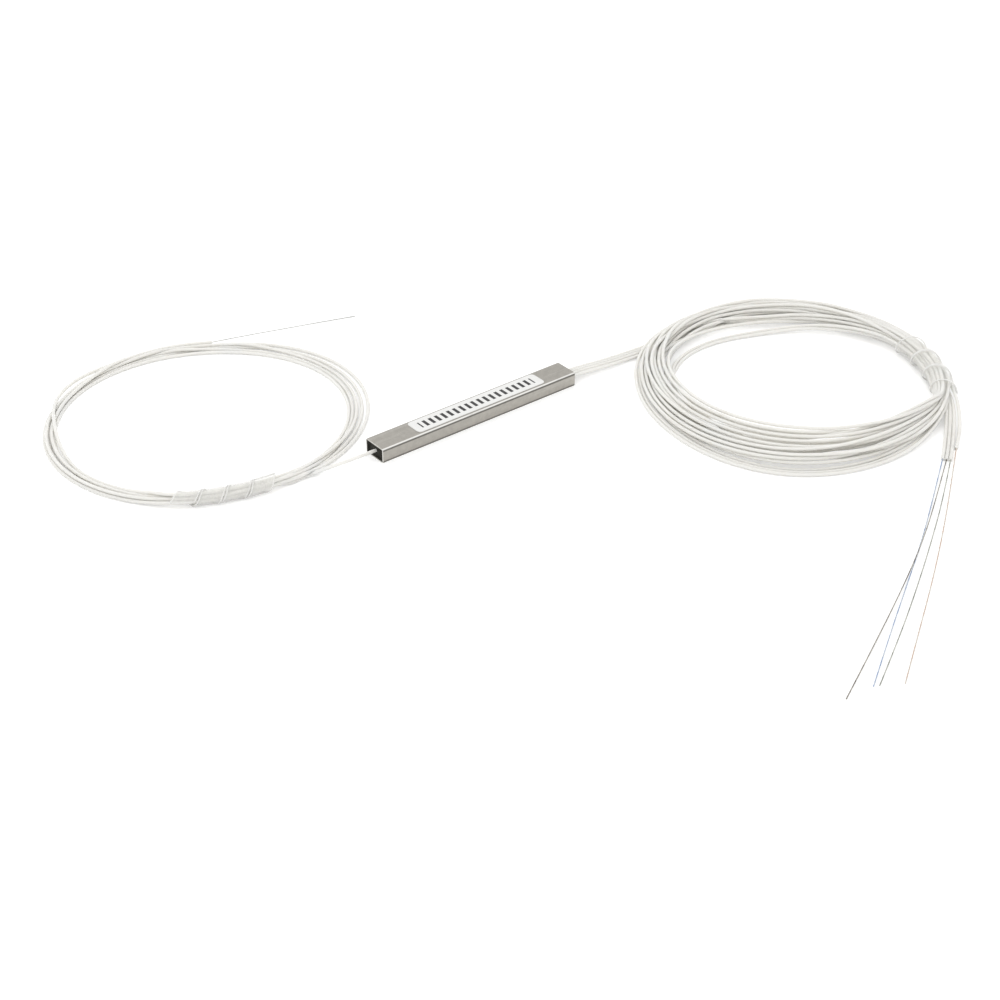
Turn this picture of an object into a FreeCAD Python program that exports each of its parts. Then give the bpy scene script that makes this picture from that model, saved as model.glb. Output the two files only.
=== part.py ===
import FreeCAD, Part
import math
import os

# A light splitter with one input and four outputs, built into a thin rectangular steel tube.
# All sizes are millimetres. The origin is the centre of the steel tube's underside,
# +X runs along the tube from the input end to the output end, and +Z is up.
#
# Inside, a waveguide chip lies between two glass fibre arrays on a strip of soft gel.
# Each array is a base with V-grooves, a lid that presses the bare fibres into them,
# and a bead of epoxy that holds the coated fibres on the step behind the lid.
# Loose white tubing enters through a potted plug at each end and is wound into a coil.
# A clear spiral wrap holds each coil together, and bare fibre ends stand out of the tubing.

Vector = FreeCAD.Vector
UP = Vector(0, 0, 1)

# ---- steel tube and label ----
TUBE_LENGTH = 60.0
TUBE_WIDTH = 7.0
TUBE_HEIGHT = 4.0
TUBE_WALL = 0.3
TUBE_CORNER_RADIUS = 0.5
TUBE_EDGE_BREAK = 0.06
LABEL_LENGTH = 39.6
LABEL_WIDTH = 5.5
LABEL_THICKNESS = 0.1
LABEL_CORNER_RADIUS = 1.2
LABEL_SHIFT = 1.2

# ---- fibres and loose tubing ----
BARE_FIBRE_DIAMETER = 0.125
COATED_FIBRE_DIAMETER = 0.25
LOOSE_TUBE_DIAMETER = 0.9
LOOSE_TUBE_GAP = 0.02
OUTPUT_COUNT = 4

# ---- potted plugs at the two mouths ----
PLUG_LENGTH = 6.0
PLUG_RECESS = 0.4
PLUG_BORE_CLEARANCE = 0.05
TUBE_END_BEYOND_PLUG = 1.0

# ---- chip, fibre arrays and gel bed ----
BED_THICKNESS = 0.25
BED_WIDTH = 3.0
BED_END_MARGIN = 2.0
CHIP_LENGTH = 12.0
CHIP_WIDTH = 2.0
CHIP_CLADDING = 0.02
CHIP_SHIFT = -0.75
CHIP_LID_LENGTH = 3.0
CHIP_LID_HEIGHT = 0.9
ARRAY_WIDTH = 2.5
ARRAY_BASE_HEIGHT = 1.0
ARRAY_LID_HEIGHT = 0.9
ARRAY_LID_SETBACK = 0.15
ARRAY_STEP_LENGTH = 2.5
INPUT_ARRAY_LENGTH = 7.5
OUTPUT_ARRAY_LENGTH = 9.0
GROOVE_DEPTH = 0.115
GROOVE_HALF_ANGLE = 30.0
FIBRE_PITCH = 0.25
BEAD_HEIGHT = 0.45
BEAD_WIDTH = 1.7
BEAD_ROUND = 0.16
BEAD_TUNNEL_RISE = 0.07
FIBRE_STRAIGHT_END = 2.0
FIBRE_STRAIGHT_ROOT = 2.1

# ---- spiral wraps ----
WRAP_FLOOR_GAP = 0.02
WRAP_BUNDLE_GAP = 0.18
WRAP_SECTIONS_PER_TURN = 10
GATHER_FLATTENING = 0.03
FULL_TURN = 360.0

# ---- cord rules ----
ARC_SHARE = 0.45
FLOOR_GAP = 0.01

# ---- modelling ----
SAME_PLACE = 1e-6

# ---- heights and places that follow from the sizes above ----
TUBE_END = TUBE_LENGTH / 2
BORE_WIDTH = TUBE_WIDTH - 2 * TUBE_WALL
BORE_HEIGHT = TUBE_HEIGHT - 2 * TUBE_WALL
BORE_CORNER_RADIUS = max(TUBE_CORNER_RADIUS - TUBE_WALL, 0.05)
TUBE_AXIS_HEIGHT = TUBE_HEIGHT / 2
PLUG_OUTER_FACE = TUBE_END - PLUG_RECESS
PLUG_INNER_FACE = PLUG_OUTER_FACE - PLUG_LENGTH
LOOSE_TUBE_END = PLUG_INNER_FACE - TUBE_END_BEYOND_PLUG
LEAD_PITCH = LOOSE_TUBE_DIAMETER + LOOSE_TUBE_GAP
FLOOR_HEIGHT = LOOSE_TUBE_DIAMETER / 2 + FLOOR_GAP

BED_TOP = TUBE_WALL + BED_THICKNESS
ARRAY_BASE_TOP = BED_TOP + ARRAY_BASE_HEIGHT
GROOVE_SLOPE = math.radians(GROOVE_HALF_ANGLE)
FIBRE_AXIS = ARRAY_BASE_TOP - GROOVE_DEPTH + BARE_FIBRE_DIAMETER / 2 / math.sin(GROOVE_SLOPE)
ARRAY_STEP_TOP = FIBRE_AXIS - COATED_FIBRE_DIAMETER / 2
ARRAY_LID_UNDERSIDE = FIBRE_AXIS + BARE_FIBRE_DIAMETER / 2
CHIP_TOP = FIBRE_AXIS + CHIP_CLADDING
CHIP_IN = CHIP_SHIFT - CHIP_LENGTH / 2
CHIP_OUT = CHIP_SHIFT + CHIP_LENGTH / 2

# ---- routes of the cords where they aren't coiled, chosen by hand ----
INPUT_LEAD_ROUTE = [
    (-LOOSE_TUBE_END, 0.0, TUBE_AXIS_HEIGHT),
    (-32.6, 0.0, TUBE_AXIS_HEIGHT),
    (-42.6, 1.5, 1.3),
    (-52.2, 3.7, 0.6),
]
OUTPUT_LEAD_ROUTE = [
    (LOOSE_TUBE_END, 0.0, TUBE_AXIS_HEIGHT),
    (32.7, 0.0, TUBE_AXIS_HEIGHT),
    (43.4, -0.5, 0.95),
    (54.3, -0.75, 0.5),
    (64.4, -1.2, FLOOR_HEIGHT),
]
TRIO_TAIL_ROUTE = [
    (95.7, -70.2, 3.0),
    (91.7, -74.5, 1.9),
    (86.9, -78.6, 0.9),
    (81.9, -82.65, 0.5),
    (76.9, -86.4, FLOOR_HEIGHT),
]
TRIO_SIDE_STEP = (0.627, -0.712)
OUTER_TAIL_ROUTE = [
    (97.1, -71.3, 3.9),
    (94.2, -75.0, 2.6),
    (90.8, -78.4, 1.2),
    (86.8, -81.6, 0.5),
    (82.6, -84.5, FLOOR_HEIGHT),
]
INPUT_FIBRE_ROUTE = [
    (-31.3, 72.2, 1.0),
    (-22.5, 70.0, 0.9),
    (-13.0, 67.6, 0.6),
    (-2.5, 65.1, 0.25),
    (7.6, 62.1, 0.14),
]
# The first point of each of these is its tube's end.
OUTPUT_FIBRE_ROUTES = [
    [(62.8, -94.9, 0.2), (47.5, -105.2, 0.15), (31.5, -115.1, 0.15), (15.5, -124.9, 0.15),
     (-1.1, -135.4, 0.15)],
    [(64.0, -95.0, 0.5), (49.5, -104.4, 0.6), (34.5, -113.0, 0.6), (13.0, -124.1, 0.25),
     (-8.5, -134.8, 0.15)],
    [(63.5, -97.2, 0.2), (45.0, -109.3, 0.15), (28.0, -119.9, 0.15), (13.4, -128.5, 0.15),
     (0.1, -136.0, 0.15)],
    [(68.5, -95.1, 0.2), (52.5, -106.8, 0.15), (36.5, -117.9, 0.15), (20.5, -128.4, 0.15),
     (4.7, -138.8, 0.15)],
]

# ---- coils: each station is (angle in degrees, inner radius, outer radius, low, high) ----
INPUT_COIL_CENTRE = (-52.0, 40.3)
INPUT_BUNDLE = 2.9
INPUT_WRAP_WALL = 0.35
INPUT_WRAP_PITCH = 6.0
INPUT_WRAP_SLIT = 0.5
INPUT_WRAP_TURNS = 3.4
INPUT_WRAP_STATIONS = [(-136.0, 39.4), (-128.0, 38.8), (-120.0, 38.1), (-111.0, 37.5),
                       (-102.0, 37.1), (-93.0, 36.8)]
INPUT_LOOSE_STATIONS = [
    (-78.0, 33.9, 38.9, 0.05, 2.1), (-60.0, 33.9, 39.4, 0.05, 1.9), (-40.0, 34.3, 40.4, 0.05, 1.9),
    (-15.0, 34.9, 41.2, 0.05, 1.9), (10.0, 34.0, 40.9, 0.05, 1.9), (35.0, 32.9, 40.2, 0.05, 1.9),
    (60.0, 32.0, 38.2, 0.05, 2.0), (85.0, 32.7, 37.6, 0.05, 2.3), (110.0, 33.5, 39.2, 0.05, 2.2),
    (135.0, 35.0, 40.9, 0.05, 2.2), (160.0, 36.2, 41.3, 0.05, 2.1), (185.0, 36.9, 41.3, 0.05, 2.0),
    (207.0, 36.6, 41.2, 0.05, 2.1),
]

OUTPUT_COIL_CENTRE = (74.0, -36.5)
OUTPUT_BUNDLE = 5.6
OUTPUT_WRAP_WALL = 0.4
OUTPUT_WRAP_PITCH = 7.8
OUTPUT_WRAP_SLIT = 0.6
OUTPUT_WRAP_TURNS = 3.0
OUTPUT_WRAP_STATIONS = [(-62.0, 39.6), (-54.0, 38.5), (-45.0, 37.3), (-36.0, 36.3), (-27.0, 35.6),
                        (-18.0, 35.2), (-9.0, 35.0), (0.0, 34.9)]
OUTPUT_LOOSE_STATIONS = [
    (16.0, 29.6, 37.6, 0.1, 4.9), (34.0, 26.8, 38.0, 0.05, 4.3), (54.0, 24.9, 38.9, 0.05, 4.0),
    (75.0, 24.4, 39.8, 0.05, 4.0), (98.0, 26.0, 40.4, 0.05, 4.2), (120.0, 28.1, 40.5, 0.05, 4.4),
    (142.0, 27.9, 40.6, 0.05, 4.4), (165.0, 27.0, 41.0, 0.05, 4.2), (188.0, 28.0, 42.4, 0.05, 4.2),
    (210.0, 30.4, 44.6, 0.05, 4.3), (230.0, 31.2, 45.4, 0.05, 4.5), (250.0, 32.2, 44.5, 0.05, 4.8),
    (270.0, 34.6, 43.4, 0.05, 5.0), (286.0, 36.4, 42.9, 0.2, 5.4),
]


# ---- small shapes ----

def bar(x_low, x_high, width, z_low, height, side=0.0):
    """A box along X, centred across the part at the given side offset."""
    corner = Vector(x_low, side - width / 2, z_low)
    return Part.makeBox(x_high - x_low, width, height, corner)


def edges_along(shape, direction):
    """The straight edges of a shape that run along one direction."""
    found = []
    for edge in shape.Edges:
        run = edge.Vertexes[-1].Point - edge.Vertexes[0].Point
        if run.cross(direction).Length < SAME_PLACE:
            found.append(edge)
    return found


def rounded_bar(x_low, x_high, width, z_low, height, radius):
    """A box along X whose four long edges are round."""
    block = bar(x_low, x_high, width, z_low, height)
    return block.makeFillet(radius, edges_along(block, Vector(1, 0, 0)))


def cylinder_along_x(x_low, x_high, diameter, side, height):
    """A round bar along X."""
    return Part.makeCylinder(diameter / 2, x_high - x_low, Vector(x_low, side, height), Vector(1, 0, 0))


def row_offsets(count, pitch):
    """Side offsets of a centred row, from the far side to the near side."""
    return [(count - 1) / 2 * pitch - place * pitch for place in range(count)]


# ---- swept cords ----

def route_wire(points):
    """Straight runs joined by tangent arcs, each arc as large as its two runs allow."""
    corners = [Vector(*point) for point in points]
    edges = []
    radii = []
    start = corners[0]
    for before, corner, after in zip(corners, corners[1:], corners[2:]):
        inward = corner - before
        outward = after - corner
        turn = inward.getAngle(outward)
        reach = ARC_SHARE * min(inward.Length, outward.Length)
        inward.normalize()
        outward.normalize()
        radius = reach / math.tan(turn / 2)
        bisector = (outward - inward).normalize()
        arc_start = corner - inward * reach
        arc_end = corner + outward * reach
        arc_middle = corner + bisector * (radius / math.cos(turn / 2) - radius)
        edges.append(Part.LineSegment(start, arc_start).toShape())
        edges.append(Part.Arc(arc_start, arc_middle, arc_end).toShape())
        radii.append(radius)
        start = arc_end
    edges.append(Part.LineSegment(start, corners[-1]).toShape())
    return Part.Wire(edges), radii


def swept_tube(name, points, diameter):
    """A round solid along a route, with its radii and its volume test printed."""
    path, radii = route_wire(points)
    start = Vector(*points[0])
    heading = Vector(*points[1]) - start
    ring = Part.Wire(Part.makeCircle(diameter / 2, start, heading))
    solid = path.makePipeShell([ring], True, False)
    expected = math.pi * diameter ** 2 / 4 * path.Length
    shown = ", ".join(f"{radius:.0f}" for radius in radii)
    print(f"{name}: length {path.Length:.1f}, volume ratio {solid.Volume / expected:.4f}, radii {shown}")
    return solid


def outside_of(cord, coil):
    """The stretch of a cord that lies outside its coil and meets it face to face."""
    return max(cord.cut(coil).Solids, key=lambda solid: solid.Volume)


# ---- coils and wraps ----

def polar(centre, angle, radius, height):
    """A point given by its angle and radius about a coil's centre."""
    turn = math.radians(angle)
    return Vector(centre[0] + radius * math.cos(turn), centre[1] + radius * math.sin(turn), height)


def coil_section(centre, station):
    """The oval outline of a coil's bundle at one station."""
    angle, inner, outer, low, high = station
    middle = polar(centre, angle, (inner + outer) / 2, (low + high) / 2)
    edge = polar(centre, angle, outer, (low + high) / 2)
    oval = Part.Ellipse(edge, middle + UP * (high - low) / 2, middle)
    return Part.Wire(oval.toShape())


def gathered_stations(stations, bundle, height):
    """Stations where the wrap draws the bundle together into a nearly round section."""
    half = bundle / 2
    flat = half - GATHER_FLATTENING
    return [(angle, radius - half, radius + half, height - flat, height + flat)
            for angle, radius in stations]


def coil_solid(centre, gathered, loose):
    """One closed ring through all stations, lofted as two halves that share their end sections."""
    ahead = [coil_section(centre, station) for station in gathered + loose[:1]]
    around = [coil_section(centre, station) for station in loose]
    around.append(coil_section(centre, (gathered[0][0] + FULL_TURN, *gathered[0][1:])))
    held_half = Part.makeLoft(ahead, True)
    loose_half = Part.makeLoft(around, True)
    return held_half.fuse(loose_half).removeSplitter().Solids[0]


def spiral_wrap(centre, stations, height, inner_radius, wall, pitch, slit, turns):
    """A clear plastic strip wound as a helix around the gathered bundle."""
    axis = Part.BSplineCurve()
    axis.interpolate([polar(centre, angle, radius, height) for angle, radius in stations])
    first = axis.length() / 2 - turns * pitch / 2
    count = int(round(turns * WRAP_SECTIONS_PER_TURN))
    sections = []
    for place in range(count + 1):
        parameter = axis.parameterAtDistance(first + turns * pitch * place / count)
        spin = 2 * math.pi * turns * place / count
        sections.append(strip_section(axis.value(parameter), Vector(*axis.tangent(parameter)[0]), spin,
                                      inner_radius, wall, pitch - slit))
    return Part.makeLoft(sections, True)


def strip_section(middle, heading, spin, inner_radius, wall, width):
    """The flat outline of a wound strip where it stands at one angle about its axis."""
    outward = heading.cross(UP) * math.cos(spin) + UP * math.sin(spin)
    inner = middle + outward * inner_radius
    outer = inner + outward * wall
    reach = heading * (width / 2)
    return Part.makePolygon([inner - reach, inner + reach, outer + reach, outer - reach, inner - reach])


# ---- the case ----

def steel_tube():
    """A thin drawn tube of rectangular section with rounded corners and broken end edges."""
    body = rounded_bar(-TUBE_END, TUBE_END, TUBE_WIDTH, 0, TUBE_HEIGHT, TUBE_CORNER_RADIUS)
    rims = [edge for edge in body.Edges if abs(abs(edge.CenterOfMass.x) - TUBE_END) < SAME_PLACE]
    body = body.makeChamfer(TUBE_EDGE_BREAK, rims)
    bore = rounded_bar(-TUBE_LENGTH, TUBE_LENGTH, BORE_WIDTH, TUBE_WALL, BORE_HEIGHT, BORE_CORNER_RADIUS)
    return body.cut(bore)


def label():
    """A thin label with rounded corners on the tube's top face."""
    half = LABEL_LENGTH / 2
    plate = bar(LABEL_SHIFT - half, LABEL_SHIFT + half, LABEL_WIDTH, TUBE_HEIGHT, LABEL_THICKNESS)
    return plate.makeFillet(LABEL_CORNER_RADIUS, edges_along(plate, UP))


def end_plug(side, offsets):
    """The potting that closes one mouth around its loose tubes; side is -1 or 1."""
    faces = sorted((side * PLUG_INNER_FACE, side * PLUG_OUTER_FACE))
    plug = rounded_bar(faces[0], faces[1], BORE_WIDTH, TUBE_WALL, BORE_HEIGHT, BORE_CORNER_RADIUS)
    bore = LOOSE_TUBE_DIAMETER + 2 * PLUG_BORE_CLEARANCE
    holes = [cylinder_along_x(faces[0] - 1, faces[1] + 1, bore, offset, TUBE_AXIS_HEIGHT)
             for offset in offsets]
    return plug.cut(holes)


# ---- the optical parts ----

def gel_bed():
    """The strip of soft gel that the chip and both arrays lie on."""
    low = CHIP_IN - INPUT_ARRAY_LENGTH + BED_END_MARGIN
    high = CHIP_OUT + OUTPUT_ARRAY_LENGTH - BED_END_MARGIN
    return bar(low, high, BED_WIDTH, TUBE_WALL, BED_THICKNESS)


def chip():
    """The waveguide chip."""
    return bar(CHIP_IN, CHIP_OUT, CHIP_WIDTH, BED_TOP, CHIP_TOP - BED_TOP)


def chip_lid(side):
    """The glass lid that stiffens one end of the chip; side is -1 or 1."""
    end = CHIP_IN if side < 0 else CHIP_OUT
    low, high = sorted((end, end - side * CHIP_LID_LENGTH))
    return bar(low, high, CHIP_WIDTH, CHIP_TOP, CHIP_LID_HEIGHT)


def groove(low, high, offset):
    """The V-shaped cutter of one fibre groove."""
    half = GROOVE_DEPTH * math.tan(GROOVE_SLOPE)
    corners = [Vector(low, offset - half, ARRAY_BASE_TOP), Vector(low, offset + half, ARRAY_BASE_TOP),
               Vector(low, offset, ARRAY_BASE_TOP - GROOVE_DEPTH)]
    return Part.Face(Part.makePolygon(corners + corners[:1])).extrude(Vector(high - low, 0, 0))


def array_places(side):
    """Where one array stands along X: its chip face, its step and its outer end."""
    face = CHIP_IN if side < 0 else CHIP_OUT
    length = INPUT_ARRAY_LENGTH if side < 0 else OUTPUT_ARRAY_LENGTH
    end = face + side * length
    return face, end - side * ARRAY_STEP_LENGTH, end


def array_base(side, offsets):
    """A glass base with a V-groove for each bare fibre and a step for the coated fibres."""
    face, step, end = array_places(side)
    low, high = sorted((face, end))
    base = bar(low, high, ARRAY_WIDTH, BED_TOP, ARRAY_BASE_HEIGHT)
    low, high = sorted((step, end))
    ledge = bar(low, high, ARRAY_WIDTH, ARRAY_STEP_TOP, ARRAY_BASE_HEIGHT)
    low, high = sorted((face, step))
    return base.cut([ledge] + [groove(low, high, offset) for offset in offsets])


def array_lid(side):
    """The glass lid that presses the bare fibres into their grooves."""
    face, step, _ = array_places(side)
    low, high = sorted((face, step - side * ARRAY_LID_SETBACK))
    return bar(low, high, ARRAY_WIDTH, ARRAY_LID_UNDERSIDE, ARRAY_LID_HEIGHT)


def strain_bead(side, offsets):
    """The epoxy bead over the coated fibres on the step behind the lid.

    It wets the tops of the fibres and doesn't run down between and beneath them.
    """
    _, step, end = array_places(side)
    low, high = sorted((step, end))
    bead = bar(low, high, BEAD_WIDTH, ARRAY_STEP_TOP, BEAD_HEIGHT)
    bead_top = ARRAY_STEP_TOP + BEAD_HEIGHT
    top_edges = [edge for edge in bead.Edges if edge.CenterOfMass.z > bead_top - SAME_PLACE]
    bead = bead.makeFillet(BEAD_ROUND, top_edges)
    row_width = offsets[-1] - offsets[0]
    tunnel_height = COATED_FIBRE_DIAMETER / 2 + BEAD_TUNNEL_RISE
    bead = bead.cut(bar(low, high, abs(row_width) + COATED_FIBRE_DIAMETER, ARRAY_STEP_TOP, tunnel_height))
    for offset in offsets:
        bead = bead.cut(cylinder_along_x(low, high, COATED_FIBRE_DIAMETER, offset, FIBRE_AXIS))
    return bead


def inner_fibre(name, side, array_offset, tube_offset):
    """One fibre from its loose tube to the chip, bare in its groove and coated behind it."""
    face, step, end = array_places(side)
    route = [(side * LOOSE_TUBE_END, tube_offset, TUBE_AXIS_HEIGHT),
             (side * (LOOSE_TUBE_END - FIBRE_STRAIGHT_END), tube_offset, TUBE_AXIS_HEIGHT),
             (end + side * FIBRE_STRAIGHT_ROOT, array_offset, FIBRE_AXIS),
             (step, array_offset, FIBRE_AXIS)]
    coated = swept_tube(name, route, COATED_FIBRE_DIAMETER)
    low, high = sorted((face, step))
    return coated.fuse(cylinder_along_x(low, high, BARE_FIBRE_DIAMETER, array_offset, FIBRE_AXIS))


def add_optics(parts, lead_offsets):
    """The chip, the two arrays, their fibres and the gel bed."""
    sides = {"input": (-1, [0.0], [0.0]),
             "output": (1, row_offsets(OUTPUT_COUNT, FIBRE_PITCH), lead_offsets)}
    parts["gel_bed"] = gel_bed()
    parts["waveguide_chip"] = chip()
    for end, (side, array_offsets, tube_offsets) in sides.items():
        for number, (near, far) in enumerate(zip(array_offsets, tube_offsets), 1):
            name = f"{end}_inner_fibre" if side < 0 else f"{end}_inner_fibre_{number}"
            parts[name] = inner_fibre(name, side, near, far)
        parts[f"{end}_chip_lid"] = chip_lid(side)
        parts[f"{end}_array_base"] = array_base(side, array_offsets)
        parts[f"{end}_array_lid"] = array_lid(side)
        parts[f"{end}_strain_bead"] = strain_bead(side, array_offsets)


# ---- the cords ----

def add_input_cord(parts):
    """The input tube's lead, coil, wrap and bare end."""
    inner_radius = INPUT_BUNDLE / 2 + WRAP_BUNDLE_GAP
    height = inner_radius + INPUT_WRAP_WALL + WRAP_FLOOR_GAP
    gathered = gathered_stations(INPUT_WRAP_STATIONS, INPUT_BUNDLE, height)
    coil = coil_solid(INPUT_COIL_CENTRE, gathered, INPUT_LOOSE_STATIONS)
    parts["input_coil"] = coil
    parts["input_coil_wrap"] = spiral_wrap(INPUT_COIL_CENTRE, INPUT_WRAP_STATIONS, height, inner_radius,
                                           INPUT_WRAP_WALL, INPUT_WRAP_PITCH, INPUT_WRAP_SLIT,
                                           INPUT_WRAP_TURNS)
    lead = swept_tube("input_lead", INPUT_LEAD_ROUTE, LOOSE_TUBE_DIAMETER)
    parts["input_lead"] = outside_of(lead, coil)
    fibre = swept_tube("input_bare_fibre", INPUT_FIBRE_ROUTE, COATED_FIBRE_DIAMETER)
    parts["input_bare_fibre"] = outside_of(fibre, coil)


def tail_routes():
    """The four output tails: three side by side and one outside them."""
    routes = []
    for place in (-1, 0, 1):
        routes.append([(x + place * TRIO_SIDE_STEP[0], y + place * TRIO_SIDE_STEP[1], z)
                       for x, y, z in TRIO_TAIL_ROUTE])
    routes.append(OUTER_TAIL_ROUTE)
    return routes


def add_output_cords(parts, lead_offsets):
    """The four output tubes' leads, their shared coil and wrap, their tails and bare ends."""
    inner_radius = OUTPUT_BUNDLE / 2 + WRAP_BUNDLE_GAP
    height = inner_radius + OUTPUT_WRAP_WALL + WRAP_FLOOR_GAP
    gathered = gathered_stations(OUTPUT_WRAP_STATIONS, OUTPUT_BUNDLE, height)
    coil = coil_solid(OUTPUT_COIL_CENTRE, gathered, OUTPUT_LOOSE_STATIONS)
    parts["output_coil"] = coil
    parts["output_coil_wrap"] = spiral_wrap(OUTPUT_COIL_CENTRE, OUTPUT_WRAP_STATIONS, height, inner_radius,
                                            OUTPUT_WRAP_WALL, OUTPUT_WRAP_PITCH, OUTPUT_WRAP_SLIT,
                                            OUTPUT_WRAP_TURNS)
    for number, (offset, tail, onward) in enumerate(zip(lead_offsets, tail_routes(), OUTPUT_FIBRE_ROUTES), 1):
        lead = [(x, y + offset, z) for x, y, z in OUTPUT_LEAD_ROUTE]
        lead_tube = swept_tube(f"output_lead_{number}", lead, LOOSE_TUBE_DIAMETER)
        parts[f"output_lead_{number}"] = outside_of(lead_tube, coil)
        tail_tube = swept_tube(f"output_tail_{number}", tail, LOOSE_TUBE_DIAMETER)
        parts[f"output_tail_{number}"] = outside_of(tail_tube, coil)
        fibre = swept_tube(f"output_bare_fibre_{number}", [tail[-1]] + onward, COATED_FIBRE_DIAMETER)
        parts[f"output_bare_fibre_{number}"] = outside_of(fibre, parts[f"output_tail_{number}"])


def build():
    """Every sub-part by its node's name."""
    lead_offsets = row_offsets(OUTPUT_COUNT, LEAD_PITCH)
    parts = {
        "steel_tube": steel_tube(),
        "label": label(),
        "input_end_plug": end_plug(-1, [0.0]),
        "output_end_plug": end_plug(1, lead_offsets),
    }
    add_optics(parts, lead_offsets)
    add_input_cord(parts)
    add_output_cords(parts, lead_offsets)
    return parts


def main():
    """Writes one STEP file for each sub-part."""
    os.makedirs("parts", exist_ok=True)
    for name, shape in build().items():
        box = shape.BoundBox
        print(f"{name}: valid {shape.isValid()}, solids {len(shape.Solids)}, volume {shape.Volume:.3f}, "
              f"z {box.ZMin:.3f} to {box.ZMax:.3f}")
        shape.exportStep(f"parts/{name}.step")


main()
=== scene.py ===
"""Looks of a bare-fibre light splitter: a steel tube with a coil of white loose tubing at each end.

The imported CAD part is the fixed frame. The tubing, the bare fibres and the lips of the wraps are built
here. The CAD nodes of the case, the optics and the wraps keep their shapes and get their finishes here.
Finishes and lamps are in metres. Routes, coils and wraps are in millimetres and degrees, and scaled once.
"""

import logging
import math
from dataclasses import dataclass, field
from enum import Enum
from functools import cache

import bpy
import numpy as np
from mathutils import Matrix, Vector

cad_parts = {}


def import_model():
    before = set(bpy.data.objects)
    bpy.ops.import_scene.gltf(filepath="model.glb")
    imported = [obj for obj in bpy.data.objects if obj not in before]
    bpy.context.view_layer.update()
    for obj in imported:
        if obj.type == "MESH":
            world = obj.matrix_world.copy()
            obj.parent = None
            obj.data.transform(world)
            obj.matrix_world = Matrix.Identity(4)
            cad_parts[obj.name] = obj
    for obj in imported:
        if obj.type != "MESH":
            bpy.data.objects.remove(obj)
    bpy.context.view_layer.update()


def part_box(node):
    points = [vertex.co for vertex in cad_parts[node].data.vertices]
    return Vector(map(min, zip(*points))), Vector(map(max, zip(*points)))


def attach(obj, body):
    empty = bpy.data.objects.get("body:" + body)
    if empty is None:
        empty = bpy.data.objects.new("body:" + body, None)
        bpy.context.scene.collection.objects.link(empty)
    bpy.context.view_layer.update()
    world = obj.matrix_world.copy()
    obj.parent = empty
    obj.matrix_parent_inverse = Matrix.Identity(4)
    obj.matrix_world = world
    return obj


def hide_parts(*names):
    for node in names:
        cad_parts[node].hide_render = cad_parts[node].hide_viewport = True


LOG = logging.getLogger("splitter")
MM = 0.001
FULL_TURN, HALF_TURN = 360.0, 180.0
UP = (0.0, 0.0, 1.0)
ROOT = "root"

# The heights of the finest and of the softer relief, and the range that the mottle effect mostly keeps to.
FINE_RELIEF, SOFT_RELIEF = 0.00001, 0.00004
CLOUD = (0.3, 0.7)
# How many points stand for a smooth line when it is measured.
LINE_SAMPLES = 400
# The height of a loose tube's middle, in millimetres, where the tube lies on the floor.
ON_FLOOR = 0.46
# Keeps divisions from failing where two points fall on each other.
TINY = 1e-6

Pair = tuple[float, float]
Point = tuple[float, float, float]
Colour = tuple[float, float, float]
Route = tuple[Point, ...]
Mark = tuple[float, float, float]
Station = tuple[float, float, float, float]
Pairs = tuple[np.ndarray, np.ndarray]
Socket = bpy.types.NodeSocket
Tree = bpy.types.NodeTree
Finish = bpy.types.Material


class Side(Enum):
    """The two ends of the case."""

    INPUT = "input"
    OUTPUT = "output"


class FibreDye(Enum):
    """The dyes of the bare fibres, with the name that each one's material takes."""

    NATURAL = "fibre_natural"
    BLUE = "fibre_blue"
    BROWN = "fibre_brown"
    GREEN = "fibre_green"
    ORANGE = "fibre_orange"


OUTPUT_DYES = (FibreDye.BLUE, FibreDye.BROWN, FibreDye.GREEN, FibreDye.ORANGE)


# ---------------------------------------------------------------- lines and cords


def metres(point: Point) -> Point:
    """A point in metres, from one in millimetres."""
    return tuple(value * MM for value in point)


def walked(line: np.ndarray) -> np.ndarray:
    """How far along a line each of its points lies."""
    return np.concatenate([[0.0], np.cumsum(np.linalg.norm(np.diff(line, axis=0), axis=1))])


def points_at(line: np.ndarray, far: np.ndarray) -> np.ndarray:
    """The points that lie at some distances along a line."""
    return np.stack([np.interp(far, walked(line), line[:, k]) for k in range(3)], axis=1)


def cord_curve(name: str, points: list[Point], diameter: float, sides: int, steps: int) -> bpy.types.Object:
    """One smooth open cord that follows its control points.

    Args:
        name: The piece's name.
        points: The control points, in metres.
        diameter: The cord's diameter, in metres.
        sides: How finely its round section is divided.
        steps: How finely each stretch between two points is divided.

    Returns:
        The curve object.
    """
    data = bpy.data.curves.new(name, "CURVE")
    data.dimensions = "3D"
    data.bevel_depth = diameter / 2
    data.bevel_resolution = sides
    data.use_fill_caps = True
    data.resolution_u = steps
    spline = data.splines.new("NURBS")
    spline.points.add(len(points) - 1)
    for place, point in zip(spline.points, points):
        place.co = (*point, 1.0)
    spline.order_u = 3
    spline.use_endpoint_u = True
    spline.resolution_u = steps
    cord = bpy.data.objects.new(name, data)
    bpy.context.scene.collection.objects.link(cord)
    return cord


@dataclass(frozen=True)
class CordKind:
    """What all cords of one kind share. Its diameters are in millimetres."""

    diameter: float
    declared: float
    sides: int
    steps: int
    stiffness: str
    lay: str


LOOSE_TUBE = CordKind(0.9, 0.9, 4, 3, "medium", "coiled")
# A cord can't be declared thinner than 0.3 mm, so the 0.25 mm fibres are declared as 0.3 mm.
BARE_FIBRE = CordKind(0.25, 0.3, 2, 12, "stiff", "loose")


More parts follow.
